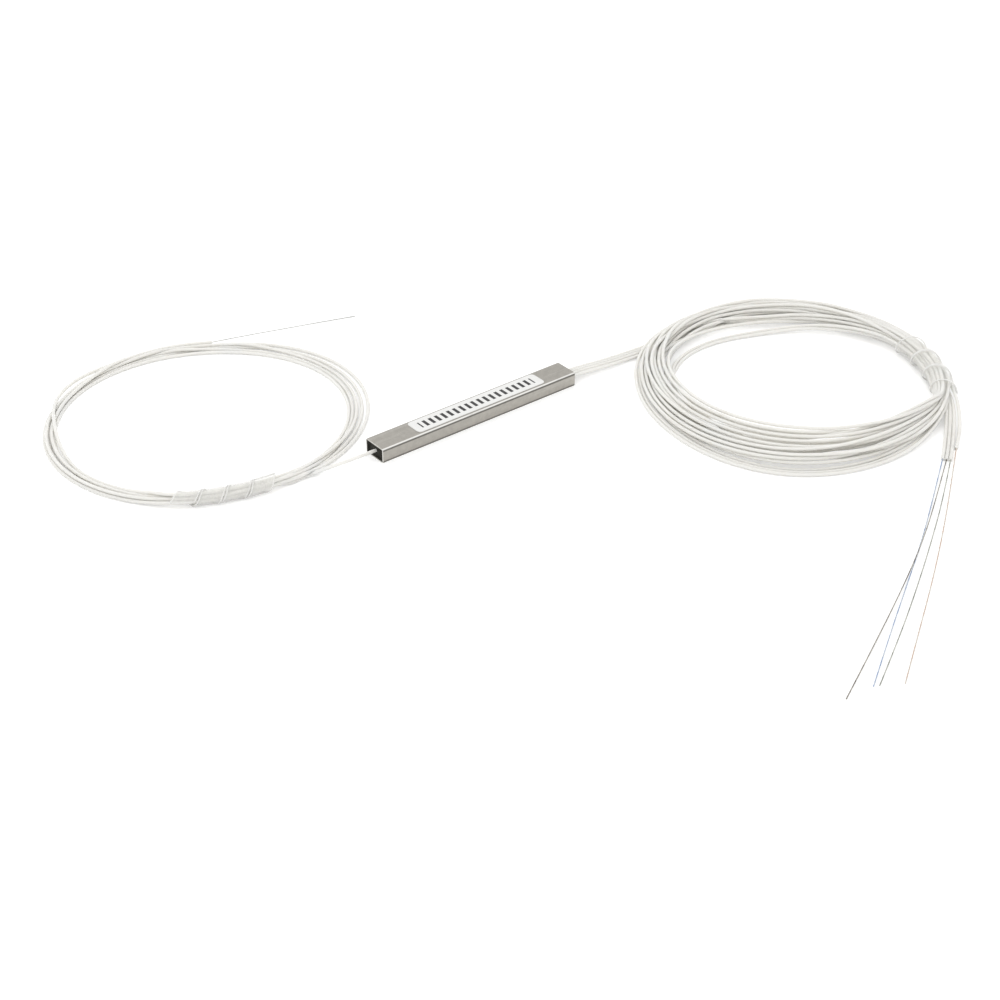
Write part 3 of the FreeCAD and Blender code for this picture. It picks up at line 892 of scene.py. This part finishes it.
@dataclass
class Bundle:
    """The tubing of one coil, laid turn by turn and settled until the turns hardly share room.

    A turn's place at each section of the ring is its radius and its height. The turns start
    on their own smooth paths, as thin lines, and grow to their real thickness while they push
    each other aside, so that they cross over and under as loosely wound tubing does. A station
    is an angle with the bundle's inner radius, outer radius and highest reach there.
    """

    hold: Hold
    diameter: float
    stations: tuple[Station, ...]
    sections: int = 72
    softening_rounds: int = 5
    softening: float = 0.5
    farthest: float = 60.0
    rounds: int = 700
    thinnest: float = 0.25
    growth: float = 1.15
    gap: float = 0.02
    clearance: float = 0.01
    first_pull: float = 0.12
    last_pull: float = 0.05
    late: float = 0.9
    stiffness: Pair = (0.5, 0.3)
    pushes: tuple[int, int] = (2, 5)
    end_freedom: float = 0.6
    tubes: list[Laid] = field(default_factory=list)

    @property
    def step(self) -> float:
        """The angle from section to section."""
        return FULL_TURN / self.sections

    def _reach(self, angle: np.ndarray) -> list[np.ndarray]:
        """The room that the bundle has at some angles about the coil's centre.

        Args:
            angle: The angles.

        Returns:
            Its inner radius, outer radius and highest reach.
        """
        half = self.hold.width / 2
        gathered = [(turned, radius - half, radius + half, self.hold.height + half)
                    for turned, radius in self.hold.line]
        angles, *reaches = np.array([*gathered, *self.stations]).T
        return [np.interp(angle, angles, reach, period=FULL_TURN) for reach in reaches]

    def _tied(self, angle: np.ndarray) -> np.ndarray:
        """Tells where the wrap holds the bundle.

        Args:
            angle: The angles to look at.

        Returns:
            True for those at which it does.
        """
        low, high = self.hold.line[0][0], self.hold.line[-1][0]
        away = np.mod(angle - (low + high) / 2 + HALF_TURN, FULL_TURN) - HALF_TURN
        return np.abs(away) <= (high - low) / 2

    def lay(self, start: float, end: float, marks: list[Mark], lead: Route, tail: Route = ()) -> None:
        """Adds one tube to the coil, with the turns that it should take before it settles.

        Args:
            start: The angle where it joins the ring.
            end: The angle where it leaves, counted on without wrapping, so it is lower.
            marks: (angle, radius, height) along the turns, by falling angle.
            lead: The route by which it comes.
            tail: The route by which it leaves, if it crosses the ring.
        """
        index = np.arange(math.floor(start / self.step), math.ceil(end / self.step) - 1, -1)
        angles, *columns = np.array(marks)[::-1].T
        place = np.stack([np.interp(index * self.step, angles, column) for column in columns], axis=1)
        for _ in range(self.softening_rounds):
            place[1:-1] += self.softening * ((place[:-2] + place[2:]) / 2 - place[1:-1])
        pinned = self._crossed(lead, start, True) + self._crossed(tail, end, False)
        self.tubes.append(Laid(index, place, pinned))

    def _crossed(self, route: Route, edge: float, ahead: bool) -> list[tuple[int, float, float]]:
        """Where a route crosses the sections, beyond the part of the ring that its own tube takes.

        Args:
            route: The route.
            edge: The angle where it meets the ring.
            ahead: Whether it lies at higher angles than that.

        Returns:
            (section, radius, height) for each crossing.
        """
        if not route:
            return []
        line = np.array(route, float)
        x, y, z = points_at(line, np.linspace(0.0, walked(line)[-1], LINE_SAMPLES)).T
        x, y = x - self.hold.centre[0], y - self.hold.centre[1]
        radius = np.hypot(x, y)
        if radius.min() > self.farthest:
            return []
        turned = edge + np.mod(np.degrees(np.arctan2(y, x)) - edge + HALF_TURN, FULL_TURN) - HALF_TURN
        order = np.argsort(turned)
        first, last = math.ceil(turned.min() / self.step), math.floor(turned.max() / self.step)
        return [(number, *(float(np.interp(number * self.step, turned[order], column[order]))
                           for column in (radius, z)))
                for number in range(first, last + 1) if (number * self.step > edge) == ahead]

    def _neighbours(self, index: np.ndarray, free: int) -> Pairs:
        """All pairs of points that lie in the same section.

        Args:
            index: Each point's section, counted on without wrapping.
            free: How many of the points can move. They come first.

        Returns:
            The first and the second point of each pair, at least one of which can move.
        """
        section = np.mod(index, self.sections)
        firsts, seconds = [], []
        for number in range(self.sections):
            members = np.flatnonzero(section == number)
            one, two = np.triu_indices(len(members), 1)
            either = (members[one] < free) | (members[two] < free)
            firsts.append(members[one][either])
            seconds.append(members[two][either])
        return np.concatenate(firsts), np.concatenate(seconds)

    @staticmethod
    def _pushed(place: np.ndarray, pairs: Pairs, width: float) -> np.ndarray:
        """How the points that share room push each other aside.

        Args:
            place: The points.
            pairs: The first and the second point of each pair.
            width: The distance that two points should keep.

        Returns:
            Each point's move.
        """
        apart = place[pairs[1]] - place[pairs[0]]
        away = np.maximum(np.hypot(apart[:, 0], apart[:, 1]), TINY)
        over = np.maximum(width - away, 0.0)
        push = apart / away[:, None] * (over / 2)[:, None]
        hit = over > 0
        moved, touched = np.zeros_like(place), np.zeros(len(place))
        for members, sign in zip(pairs, (-1.0, 1.0)):
            np.add.at(moved, members[hit], sign * push[hit])
            np.add.at(touched, members[hit], 1.0)
        return moved / np.sqrt(np.maximum(touched, 1.0))[:, None]

    def settle(self) -> list[list[Point]]:
        """Grows the thin lines to their real thickness and lets them push each other aside.

        Returns:
            For each tube, its control points through the coil, in metres.
        """
        pinned = [row for tube in self.tubes for row in tube.pinned]
        index = np.concatenate([*(tube.index for tube in self.tubes), [row[0] for row in pinned]])
        place = np.concatenate([*(tube.place for tube in self.tubes), [row[1:] for row in pinned]])
        starts = np.concatenate([[0], np.cumsum([len(tube.index) for tube in self.tubes])])
        free = starts[-1]
        pairs = self._neighbours(index, free)
        angle = index[:free] * self.step
        inner, outer, high = self._reach(angle)
        half = self.diameter / 2
        lowest = np.stack([inner + half, np.full(free, half + self.clearance)], axis=1)
        highest = np.stack([outer - half, high - half], axis=1)
        axis = np.stack([(inner + outer) / 2, np.full(free, self.hold.height)], axis=1)
        tied, room = self._tied(angle), self.hold.width / 2 - half
        middle = np.ones(free, bool)
        middle[starts[:-1]] = middle[starts[1:] - 1] = False
        inside, ends = np.flatnonzero(middle), np.flatnonzero(~middle)
        target = place[:free].copy()
        for turn in range(self.rounds):
            share = turn / self.rounds
            late = share >= self.late
            width = (self.diameter + self.gap) * min(1.0, self.thinnest + share * self.growth)
            pull = self.first_pull * (1.0 - share) ** 2 + self.last_pull
            place[:free] += pull * (target - place[:free])
            between = (place[inside - 1] + place[inside + 1]) / 2
            place[inside] += self.stiffness[late] * (between - place[inside])
            for _ in range(self.pushes[late]):
                place[:free] += self._pushed(place, pairs, width)[:free]
                place[:free] = np.clip(place[:free], lowest, highest)
                off = place[:free] - axis
                reach = np.hypot(off[:, 0], off[:, 1])
                scale = np.where(tied & (reach > room), room / np.maximum(reach, TINY), 1.0)
                place[:free] -= off * (1.0 - scale)[:, None]
            place[ends] = place[ends] * self.end_freedom + target[ends] * (1.0 - self.end_freedom)
        apart = place[pairs[1]] - place[pairs[0]]
        away = np.hypot(apart[:, 0], apart[:, 1])
        LOG.info("coil settled: %d points, closest turns %.3f mm", free, away.min())
        turned = np.radians(angle)
        line = np.stack([self.hold.centre[0] + place[:free, 0] * np.cos(turned),
                         self.hold.centre[1] + place[:free, 0] * np.sin(turned), place[:free, 1]], axis=1)
        points = [metres(point) for point in line.tolist()]
        return [points[start:end] for start, end in zip(starts[:-1], starts[1:])]


# ---------------------------------------------------------------- sub-assemblies


@dataclass(frozen=True)
class Lamp:
    """A soft square lamp that points at the object."""

    name: str
    place: Point
    size: float
    power: float


@dataclass
class Studio:
    """The camera, the lamps, the pale floor and the white surround."""

    camera_place: Point = (-0.26480, -0.34560, 0.26123)
    camera_target: Point = (-0.01780, -0.03320, 0.0)
    lens: float = 73.4543
    sensor: float = 36.0
    clip: Pair = (0.01, 20.0)
    lamps: tuple[Lamp, ...] = (Lamp("key", (0.02, 0.48, 1.05), 0.7, 1.8),
                               Lamp("fill", (-0.42, -0.24, 0.50), 0.6, 0.48))
    floor_size: float = 6.0
    floor_height: float = -0.00002
    floor_colour: Colour = (0.92, 0.92, 0.92)
    floor_lift: float = 0.32
    surround: float = 0.88
    white: Colour = (1.0, 1.0, 1.0)

    @staticmethod
    def _aim(name: str, data: bpy.types.ID, place: Point, target: Point) -> bpy.types.Object:
        """Puts a camera or a lamp in its place and turns it to its target.

        Args:
            name: The object's name.
            data: The camera or the lamp.
            place: Where it stands.
            target: What it points at.

        Returns:
            The object.
        """
        stood = bpy.data.objects.new(name, data)
        bpy.context.scene.collection.objects.link(stood)
        stood.location = place
        stood.rotation_mode = "QUATERNION"
        stood.rotation_quaternion = (Vector(target) - Vector(place)).to_track_quat("-Z", "Y")
        return stood

    def camera(self) -> None:
        """Sets up the camera."""
        data = bpy.data.cameras.new("camera")
        data.lens, data.sensor_width = self.lens, self.sensor
        data.clip_start, data.clip_end = self.clip
        bpy.context.scene.camera = self._aim("camera", data, self.camera_place, self.camera_target)

    def light(self) -> None:
        """Sets up the lamps."""
        for lamp in self.lamps:
            data = bpy.data.lights.new(lamp.name, "AREA")
            data.shape = "SQUARE"
            data.size, data.energy = lamp.size, lamp.power
            self._aim(lamp.name, data, lamp.place, (0.0, 0.0, 0.0))

    @staticmethod
    def _seen_through(nodes: Nodes) -> Socket:
        """Finds the rays that show the surround: from the camera, from gloss and through glass.

        Args:
            nodes: The nodes of the floor or the world.

        Returns:
            1 for such a ray.
        """
        rays = nodes.add("ShaderNodeLightPath")
        first = nodes.maths("MAXIMUM", rays.outputs["Is Camera Ray"], rays.outputs["Is Glossy Ray"])
        return nodes.maths("MAXIMUM", first, rays.outputs["Is Transmission Ray"])

    def floor(self) -> None:
        """Makes the pale floor, which keeps the object's shadow and looks white elsewhere."""
        for chosen in list(bpy.context.selected_objects):
            chosen.select_set(False)
        bpy.context.view_layer.objects.active = None
        bpy.ops.mesh.primitive_plane_add(size=self.floor_size, location=(0.0, 0.0, self.floor_height))
        floor = bpy.context.object
        floor.name = "studio_floor"
        floor.data.transform(floor.matrix_world)
        floor.matrix_world.identity()
        block = bpy.data.materials.new("studio_floor")
        nodes = Nodes.of(block)
        plain = nodes.add("ShaderNodeBsdfDiffuse", Color=self.floor_colour)
        lift = nodes.add("ShaderNodeEmission", Color=self.white,
                         Strength=nodes.times(self._seen_through(nodes), self.floor_lift))
        both = nodes.add("ShaderNodeAddShader")
        for socket, shader in zip(both.inputs, (plain, lift)):
            nodes.put(socket, shader.outputs[0])
        nodes.add("ShaderNodeOutputMaterial", Surface=both.outputs[0])
        floor.data.materials.append(block)

    def world(self) -> None:
        """Makes the surround: white where it is seen, and a soft even light elsewhere."""
        world = bpy.data.worlds.new("surround")
        bpy.context.scene.world = world
        nodes = Nodes.of(world)
        back = nodes.add("ShaderNodeBackground", Color=self.white,
                         Strength=nodes.maths("MAXIMUM", self._seen_through(nodes), self.surround))
        nodes.add("ShaderNodeOutputWorld", Surface=back.outputs[0])

    def build(self) -> None:
        """Builds the whole studio."""
        bpy.context.scene.view_settings.view_transform = "Standard"
        for make in (self.camera, self.light, self.floor, self.world):
            make()


@dataclass
class Case:
    """The steel tube, its label, and the potting that closes its two mouths."""

    wall: float = 0.3 * MM
    steel: SteelFinish = SteelFinish()
    paper: PaperFinish = PaperFinish()
    potting: CloudyFinish = CloudyFinish(
        "potting", (0.008, 0.0075, 0.006), (0.035, 0.033, 0.028), (0.51, 0.69), 900.0, bump=0.6,
        relief=SOFT_RELIEF, shader={"Specular_IOR_Level": 0.12})

    def build(self) -> None:
        """Dresses the case's nodes."""
        low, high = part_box("steel_tube")
        size = high - low
        dress("steel_tube", self.steel.build(size.x / 2, size.y / 2, size.z, self.wall))
        low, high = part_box("label")
        size = high - low
        dress("label", self.paper.build((low.x + high.x) / 2, size.x / 2, size.y / 2))
        potting = self.potting.build()
        for side in Side:
            dress(f"{side.value}_end_plug", potting)
        LOG.info("case dressed")


@dataclass
class Optics:
    """The chip, the fibre arrays, their fibres and the gel bed inside the tube."""

    gel: CloudyFinish = CloudyFinish(
        "gel", (0.66, 0.67, 0.65), (0.78, 0.79, 0.78), (0.238, 0.322), 700.0, bump=0.4, relief=SOFT_RELIEF,
        shader={"Transmission_Weight": 0.3})
    epoxy: CloudyFinish = CloudyFinish(
        "epoxy", (0.72, 0.62, 0.36), (0.82, 0.75, 0.52), (0.136, 0.184), 1500.0, bump=0.25,
        relief=SOFT_RELIEF, shader={"Transmission_Weight": 0.5})
    glass: CloudyFinish = CloudyFinish(
        "array_glass", (0.84, 0.92, 0.91), (0.7, 0.8, 0.79), (0.12, 0.34), 2500.0, 0.5, (0.35, 0.7, 0.4),
        (0.3, 0.75), 0.1, shader={"Transmission_Weight": 0.85, "IOR": 1.47})
    chip: ChipFinish = ChipFinish()

    def build(self, dyes: dict[FibreDye, Finish]) -> None:
        """Dresses the optical nodes.

        Args:
            dyes: The fibre materials by dye.
        """
        dress("gel_bed", self.gel.build())
        dress("waveguide_chip", self.chip.build())
        glass, epoxy = self.glass.build(), self.epoxy.build()
        for side in Side:
            for kind in ("chip_lid", "array_base", "array_lid"):
                dress(f"{side.value}_{kind}", glass)
            dress(f"{side.value}_strain_bead", epoxy)
        dress("input_inner_fibre", dyes[FibreDye.NATURAL])
        for number, dye in enumerate(OUTPUT_DYES, 1):
            dress(f"output_inner_fibre_{number}", dyes[dye])
        LOG.info("optics dressed")


@dataclass
class InputTail:
    """The single input tube: its lead, its coil of turns and the fibre that stands out of it.

    Each turn has its (radius, height) places at the mark angles, in the order of travel. A bare
    radius is where it lies on the floor.
    """

    lead: Route = ((-22.6, 0.0, 2.0), (-32.6, 0.0, 2.0), (-42.6, 1.5, 1.3), (-49.4, 2.9, 0.62))
    fibre: Route = (
        (-31.3, 72.2, 1.0), (-22.5, 70.0, 0.9), (-13.0, 67.6, 0.6), (-2.5, 65.1, 0.25), (7.6, 62.1, 0.14))
    join: float = -86.0
    leave: float = -303.0 - 5 * FULL_TURN
    join_mark: Mark = (-84.0, 38.3, 0.5)
    stations: tuple[Station, ...] = (
        (-78.0, 33.9, 38.9, 2.1), (-60.0, 33.9, 39.4, 1.9), (-40.0, 34.3, 40.4, 1.9),
        (-15.0, 34.5, 41.6, 1.9), (10.0, 34.0, 41.7, 1.9), (35.0, 32.5, 40.9, 1.9),
        (60.0, 32.0, 38.4, 2.2), (85.0, 32.7, 38.0, 2.3), (108.0, 33.5, 40.9, 2.4),
        (130.0, 34.8, 41.7, 2.8), (160.0, 36.2, 41.5, 2.3), (185.0, 36.9, 41.6, 2.0),
        (207.0, 36.6, 41.2, 2.1))
    mark_angles: tuple[float, ...] = (
        -112.0, -140.0, -165.0, -190.0, -210.0, -232.0, -246.0, -270.0, -305.0, -335.0, -360.0, -392.0,
        -425.0)
    turns: tuple[tuple[Pair | float, ...], ...] = (
        ((37.1, 1.0), 38.7, 39.6, 39.7, 38.9, 37.7, 36.8, 35.3, 35.2, 38.0, 39.4, 38.3, (36.4, 0.5)),
        ((36.7, 1.9), 37.7, 38.4, 38.3, 37.6, 36.6, 35.8, 34.3, 32.9, 34.2, 35.2, 34.9, (34.3, 0.5)),
        ((37.6, 2.9), (38.0, 1.4), 36.7, 36.2, (37.0, 1.4), (40.3, 1.9), (41.0, 0.9), (36.9, 0.5),
         (37.0, 0.5), 40.2, 41.3, 39.9, 37.6),
        ((38.1, 1.2), 39.8, 40.7, 40.8, 40.0, 38.8, 37.9, 36.4, 34.0, 35.2, 36.2, 35.9, (35.3, 0.5)),
        ((38.4, 2.1), (39.3, 1.3), (40.2, 1.25), (40.3, 1.25), (39.4, 1.25), (38.2, 1.25), (37.3, 1.25),
         (35.8, 1.25), (36.6, 0.6), 36.7, 37.7, 37.0, (35.4, 1.2)),
        ((37.4, 2.0), (38.1, 1.3), (38.8, 1.25), (38.8, 1.25), (38.1, 1.25), (37.1, 1.25), (36.3, 1.25),
         (36.8, 1.3), (37.7, 1.0)))

    def marks(self) -> list[Mark]:
        """The marks of all turns, by falling angle."""
        return [self.join_mark, *((angle - FULL_TURN * number, *placed(place))
                                  for number, turn in enumerate(self.turns)
                                  for angle, place in zip(self.mark_angles, turn))]

    def build(self, tube: Finish, dyes: dict[FibreDye, Finish]) -> None:
        """Builds the tube and its fibre.

        Args:
            tube: The material of the loose tubing.
            dyes: The fibre materials by dye.
        """
        coil = Bundle(HOLDS[Side.INPUT], LOOSE_TUBE.diameter, self.stations)
        coil.lay(self.join, self.leave, self.marks(), self.lead)
        fibre = [metres(point) for point in self.fibre]
        run_cord("input_tubing", LOOSE_TUBE, [*map(metres, self.lead), *coil.settle()[0], fibre[0]],
                 ["input_coil", "input_lead"], tube)
        run_cord("input_fibre", BARE_FIBRE, fibre, ["input_bare_fibre"],
                 dyes[FibreDye.NATURAL])


@dataclass
class OutputTails:
    """The four output tubes: their leads, their shared coil, their tails and the coloured fibres.

    The leads lie side by side: by offsets up to the case's mouth, and by beside past it. The first
    three tails lie side by side as well, and the fourth by itself. The cuts through the coil are in the
    order of travel: at the back, at the wrap's two ends, and then around. The leads take the first
    four places at the back, and the tails leave the last four at the wrap's far end.
    """

    lead: Route = (
        (22.6, 0.0, 2.0), (32.7, 0.0, 2.0), (43.4, -0.5, 0.95), (54.3, -0.75, 0.5), (64.4, -1.2, 0.46))
    mouth: float = 30.0
    offsets: tuple[float, ...] = (1.38, 0.46, -0.46, -1.38)
    beside: tuple[float, ...] = (1.34, 0.42, -0.5, -1.72)
    trio_tail: Route = (
        (95.7, -70.2, 3.0), (91.7, -74.5, 1.9), (86.9, -78.6, 0.9), (81.9, -82.65, 0.5),
        (76.9, -86.4, 0.46))
    trio_step: Pair = (0.627, -0.712)
    outer_tail: Route = (
        (97.1, -71.3, 3.9), (94.2, -75.0, 2.6), (90.8, -78.4, 1.2), (86.8, -81.6, 0.5), (82.6, -84.5, 0.46))
    fibres: tuple[Route, ...] = (
        ((62.8, -94.9, 0.2), (47.5, -105.2, 0.15), (31.5, -115.1, 0.15), (15.5, -124.9, 0.15),
         (-1.1, -135.4, 0.15)),
        ((64.0, -95.0, 0.5), (49.5, -104.4, 0.6), (34.5, -113.0, 0.6), (13.0, -124.1, 0.25),
         (-8.5, -134.8, 0.15)),
        ((63.5, -97.2, 0.2), (45.0, -109.3, 0.15), (28.0, -119.9, 0.15), (13.4, -128.5, 0.15),
         (0.1, -136.0, 0.15)),
        ((68.5, -95.1, 0.2), (52.5, -106.8, 0.15), (36.5, -117.9, 0.15), (20.5, -128.4, 0.15),
         (4.7, -138.8, 0.15)))
    stations: tuple[Station, ...] = (
        (16.0, 29.6, 38.6, 6.4), (34.0, 26.4, 38.9, 6.0), (54.0, 24.6, 39.2, 5.8), (75.0, 24.2, 39.8, 5.6),
        (98.0, 26.0, 40.4, 5.4), (120.0, 28.1, 40.7, 5.2), (142.0, 27.9, 40.7, 5.2),
        (165.0, 27.0, 41.0, 5.2), (188.0, 27.0, 42.0, 5.4), (210.0, 29.0, 44.6, 5.9),
        (230.0, 29.8, 45.6, 6.3), (250.0, 31.0, 44.8, 6.5), (270.0, 33.0, 43.4, 6.6),
        (286.0, 35.4, 42.9, 6.6))
    back: Cut = cut(
        62.0,
        32.6, 33.55, 34.5, 35.45, 24.5, 25.9, (29.4, 1.6), (30.2, 1.1), (30.4, 2.1), (34.8, 1.4),
        (35.9, 1.3), (34.3, 2.3), (35.3, 2.2), (36.3, 2.1), (37.3, 1.6), (34.8, 3.1), (35.8, 3.0),
        (36.8, 2.8), (34.0, 3.3), (35.2, 3.9), (36.2, 3.8), (37.2, 3.6), (35.9, 4.6), (36.9, 4.5))
    around: tuple[Cut, ...] = (
        cut(-90.0,
            41.6, 40.6, (39.4, 0.9), (38.6, 1.6), (37.7, 2.2), (38.9, 2.6), (36.8, 2.8), (38.0, 3.3),
            (37.1, 3.8), (35.9, 3.6), (36.2, 4.6), (35.2, 4.3), (35.4, 5.3), (34.4, 5.0), (34.5, 5.9),
            (33.5, 5.6), (39.7, 1.9), (36.0, 2.6), (34.9, 3.4), (33.9, 4.1)),
        cut(-137.0,
            45.5, 44.5, 43.4, (42.5, 2.2), (41.8, 2.9), (40.9, 3.8), (39.6, 4.2), (38.0, 4.4), (36.0, 4.7),
            (34.1, 5.0), (32.3, 5.4), (30.8, 5.9), (39.4, 1.9), (38.4, 2.7), (37.0, 3.2), (35.4, 3.6),
            (33.6, 3.9), (32.2, 4.5), (37.3, 1.3), (35.8, 2.0)),
        cut(180.0,
            40.2, 39.2, 37.6, (36.6, 0.5), (38.0, 1.4), (37.0, 1.9), (35.8, 2.5), (34.3, 3.1), (32.9, 3.5),
            (31.4, 3.9), (30.0, 4.2), (28.5, 4.3), 35.6, (35.0, 1.5), (33.6, 2.1), (32.1, 2.6),
            (30.7, 3.0), (29.3, 3.2), (33.7, 0.9), (31.6, 1.4)),
        cut(150.0,
            38.9, 37.9, 36.6, 35.6, (37.2, 1.4), (36.2, 1.5), (35.1, 1.6), (33.9, 1.9), (32.7, 2.3),
            (31.6, 2.8), (30.3, 3.3), (29.2, 3.6), 34.5, (33.5, 0.5), (32.3, 0.6), (31.2, 0.8),
            (30.2, 1.2), (29.2, 1.7), (33.4, 2.9), (34.7, 2.6)),
        cut(124.0,
            (39.6, 1.6), (38.7, 1.5), (37.6, 1.6), (36.6, 1.5), (38.4, 2.4), (37.4, 2.5), (36.4, 2.4),
            (35.4, 2.5), (35.9, 3.3), (34.8, 3.4), (33.6, 3.3), (32.6, 3.2), (35.5, 1.6), (34.3, 1.4),
            (33.4, 1.2), (32.0, 0.6), 30.6, 29.8, (37.0, 3.4), (38.0, 3.3)),
        cut(92.0,
            (40.4, 1.4), (39.4, 1.4), (38.4, 1.4), (37.4, 1.4), (38.9, 2.4), (37.9, 2.4), (36.9, 2.3),
            (35.9, 2.3), (38.2, 3.3), (37.2, 3.2), (36.2, 3.2), (37.0, 4.1), (36.0, 4.0), (34.6, 2.7),
            (33.0, 2.2), (32.0, 1.2), (31.0, 0.6), 26.6, 27.7, (35.0, 3.3)))
    join: float = 92.0
    join_place: Pair = (35.3, ON_FLOOR)
    wrap_ends: tuple[Pair, Pair] = ((-4.0, 34.95), (-48.0, 37.7))
    wrap_room: float = 2.3
    spread_angle: float = math.radians(137.508)
    tail_lean: float = 0.4
    full_turns: int = 5
    swaps: int = 26000
    uneven_cost: float = 40.0
    seed: int = 7

    def _wrapped(self, angle: float, radius: float) -> Cut:
        """A cut where the wrap holds the bundle.

        Args:
            angle: Its angle.
            radius: The radius of the bundle's middle there.

        Returns:
            The cut, with as many places as at the back, spread evenly over a round section.
        """
        count = len(self.back.places)
        places = []
        for place in range(count):
            far, spin = self.wrap_room * math.sqrt((place + 0.5) / count), self.spread_angle * place
            places.append((radius + far * math.cos(spin), HOLDS[Side.OUTPUT].height + far * math.sin(spin)))
        return Cut(angle, tuple(places))

    def marks(self) -> list[list[Mark]]:
        """Weaves the tubes through the coil.

        Returns:
            For each tube, (angle, radius, height) at its marks, by falling angle.
        """
        first, last = (self._wrapped(*end) for end in self.wrap_ends)
        tubes = len(self.offsets)
        outward = sorted(last.places, key=lambda place: place[0] - self.tail_lean * place[1])
        leaving = outward[-tubes:]
        last = Cut(last.angle, (*(place for place in last.places if place not in leaving), *leaving))
        weave = Weave([self.back, first, last, *self.around], tubes, self.full_turns + 1, self.swaps,
                      self.uneven_cost, self.seed)
        radius, height = self.join_place
        return [[(self.join, radius + offset, height), *way]
                for offset, way in zip(self.offsets, sorted(weave.solve(), reverse=True))]

    def tail(self, tube: int) -> Route:
        """The route by which a tube leaves the coil.

        Args:
            tube: The tube, counted from 0.

        Returns:
            Its route.
        """
        if tube == len(self.offsets) - 1:
            return self.outer_tail
        right, up = (tube - 1) * self.trio_step[0], (tube - 1) * self.trio_step[1]
        return tuple((x + right, y + up, z) for x, y, z in self.trio_tail)

    def build(self, tube: Finish, dyes: dict[FibreDye, Finish]) -> None:
        """Builds the tubes and their fibres.

        Args:
            tube: The material of the loose tubing.
            dyes: The fibre materials by dye.
        """
        coil = Bundle(HOLDS[Side.OUTPUT], LOOSE_TUBE.diameter, self.stations)
        leads = [tuple((x, y + (offset if x < self.mouth else beside), z) for x, y, z in self.lead)
                 for offset, beside in zip(self.offsets, self.beside)]
        tails = [self.tail(number) for number in range(len(leads))]
        for marks, lead, tail in zip(self.marks(), leads, tails):
            coil.lay(self.join, self.wrap_ends[1][0] - FULL_TURN * self.full_turns, marks, lead, tail)
        rows = zip(leads, coil.settle(), tails, self.fibres, OUTPUT_DYES)
        for number, (lead, turns, tail, fibre, dye) in enumerate(rows, 1):
            points = [*map(metres, lead), *turns, *map(metres, tail)]
            run_cord(f"output_tubing_{number}", LOOSE_TUBE, points,
                     ["output_coil", f"output_lead_{number}", f"output_tail_{number}"], tube)
            run_cord(f"output_fibre_{number}", BARE_FIBRE, [*map(metres, (tail[-1], *fibre))],
                     [f"output_bare_fibre_{number}"], dyes[dye])


@dataclass(frozen=True)
class Strip:
    """One spiral wrap: its strip's sizes, and how clear its film and its rolled lip are."""

    side: Side
    inner_radius: float
    wall: float
    pitch: float
    slit: float
    turns: float
    film_alpha: Pair
    lip_alpha: Pair
    lip_diameter: float


@dataclass
class Wraps:
    """The clear spiral wraps that hold the coils: their strips, and the rolled lips of their cut edges."""

    strips: tuple[Strip, ...] = (
        Strip(Side.INPUT, 1.63, 0.35, 6.0, 0.5, 3.4, (0.28, 0.40), (0.5, 0.7), 0.48),
        Strip(Side.OUTPUT, 2.98, 0.4, 7.8, 0.6, 3.0, (0.11, 0.21), (0.75, 0.95), 0.34))
    film: tuple[Colour, Colour, float] = ((0.97, 0.962, 0.93), (0.935, 0.927, 0.895), 0.14)
    rolled: tuple[Colour, Colour, float] = ((0.985, 0.98, 0.96), (0.96, 0.955, 0.935), 0.2)
    steps_per_turn: int = 24
    smoothing_degree: int = 4
    look_ahead: float = 0.2

    def lip(self, strip: Strip) -> list[Point]:
        """The closed line of a strip's edges, out along one and back along the other.

        Args:
            strip: The strip.

        Returns:
            Its points, in metres.
        """
        hold = HOLDS[strip.side]
        angles, radii = np.array(hold.line).T
        fine = np.linspace(angles[0], angles[-1], LINE_SAMPLES)
        radius = np.polyval(np.polyfit(angles, radii, self.smoothing_degree), fine)
        turned = np.radians(fine)
        line = np.stack([hold.centre[0] + radius * np.cos(turned), hold.centre[1] + radius * np.sin(turned),
                         np.full(LINE_SAMPLES, hold.height)], axis=1)
        share = np.linspace(0.0, strip.turns, round(strip.turns * self.steps_per_turn) + 1)
        far = walked(line)[-1] / 2 + (share - strip.turns / 2) * strip.pitch
        middle = points_at(line, far)
        heading = points_at(line, far + self.look_ahead) - middle
        heading /= np.linalg.norm(heading, axis=1)[:, None]
        spin = 2 * math.pi * share
        outward = np.cross(heading, UP) * np.cos(spin)[:, None] + np.array(UP) * np.sin(spin)[:, None]
        skin = middle + outward * (strip.inner_radius + strip.wall / 2)
        reach = heading * ((strip.pitch - strip.slit) / 2)
        return [metres(point) for point in np.array([*(skin - reach), *(skin + reach)[::-1]]).tolist()]

    def build(self) -> None:
        """Dresses the strips and lays their lips."""
        for strip in self.strips:
            name = f"{strip.side.value}_wrap"
            film = film_finish(name, *self.film, strip.film_alpha)
            rolled = film_finish(f"{name}_lip", *self.rolled, strip.lip_alpha)
            dress(f"{strip.side.value}_coil_wrap", film.build())
            lip = cord_curve(f"{name}_lip", self.lip(strip), strip.lip_diameter * MM, sides=3, steps=2)
            spline = lip.data.splines[0]
            spline.use_endpoint_u, spline.use_cyclic_u = False, True
            lip.data.materials.append(rolled.build())
            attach(lip, ROOT)
            LOG.info("%s: lip of %d points", name, len(spline.points))


# ---------------------------------------------------------------- the whole


def main() -> None:
    """Builds every sub-assembly in order."""
    logging.basicConfig(level=logging.INFO, format="%(name)s: %(message)s")
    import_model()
    Studio().build()
    dyes = {dye: finish.build() for dye, finish in FIBRE_FINISHES.items()}
    tube = TubingFinish().build()
    InputTail().build(tube, dyes)
    OutputTails().build(tube, dyes)
    Wraps().build()
    Case().build()
    Optics().build(dyes)
    bpy.context.view_layer.update()


if __name__ == "__main__":
    main()
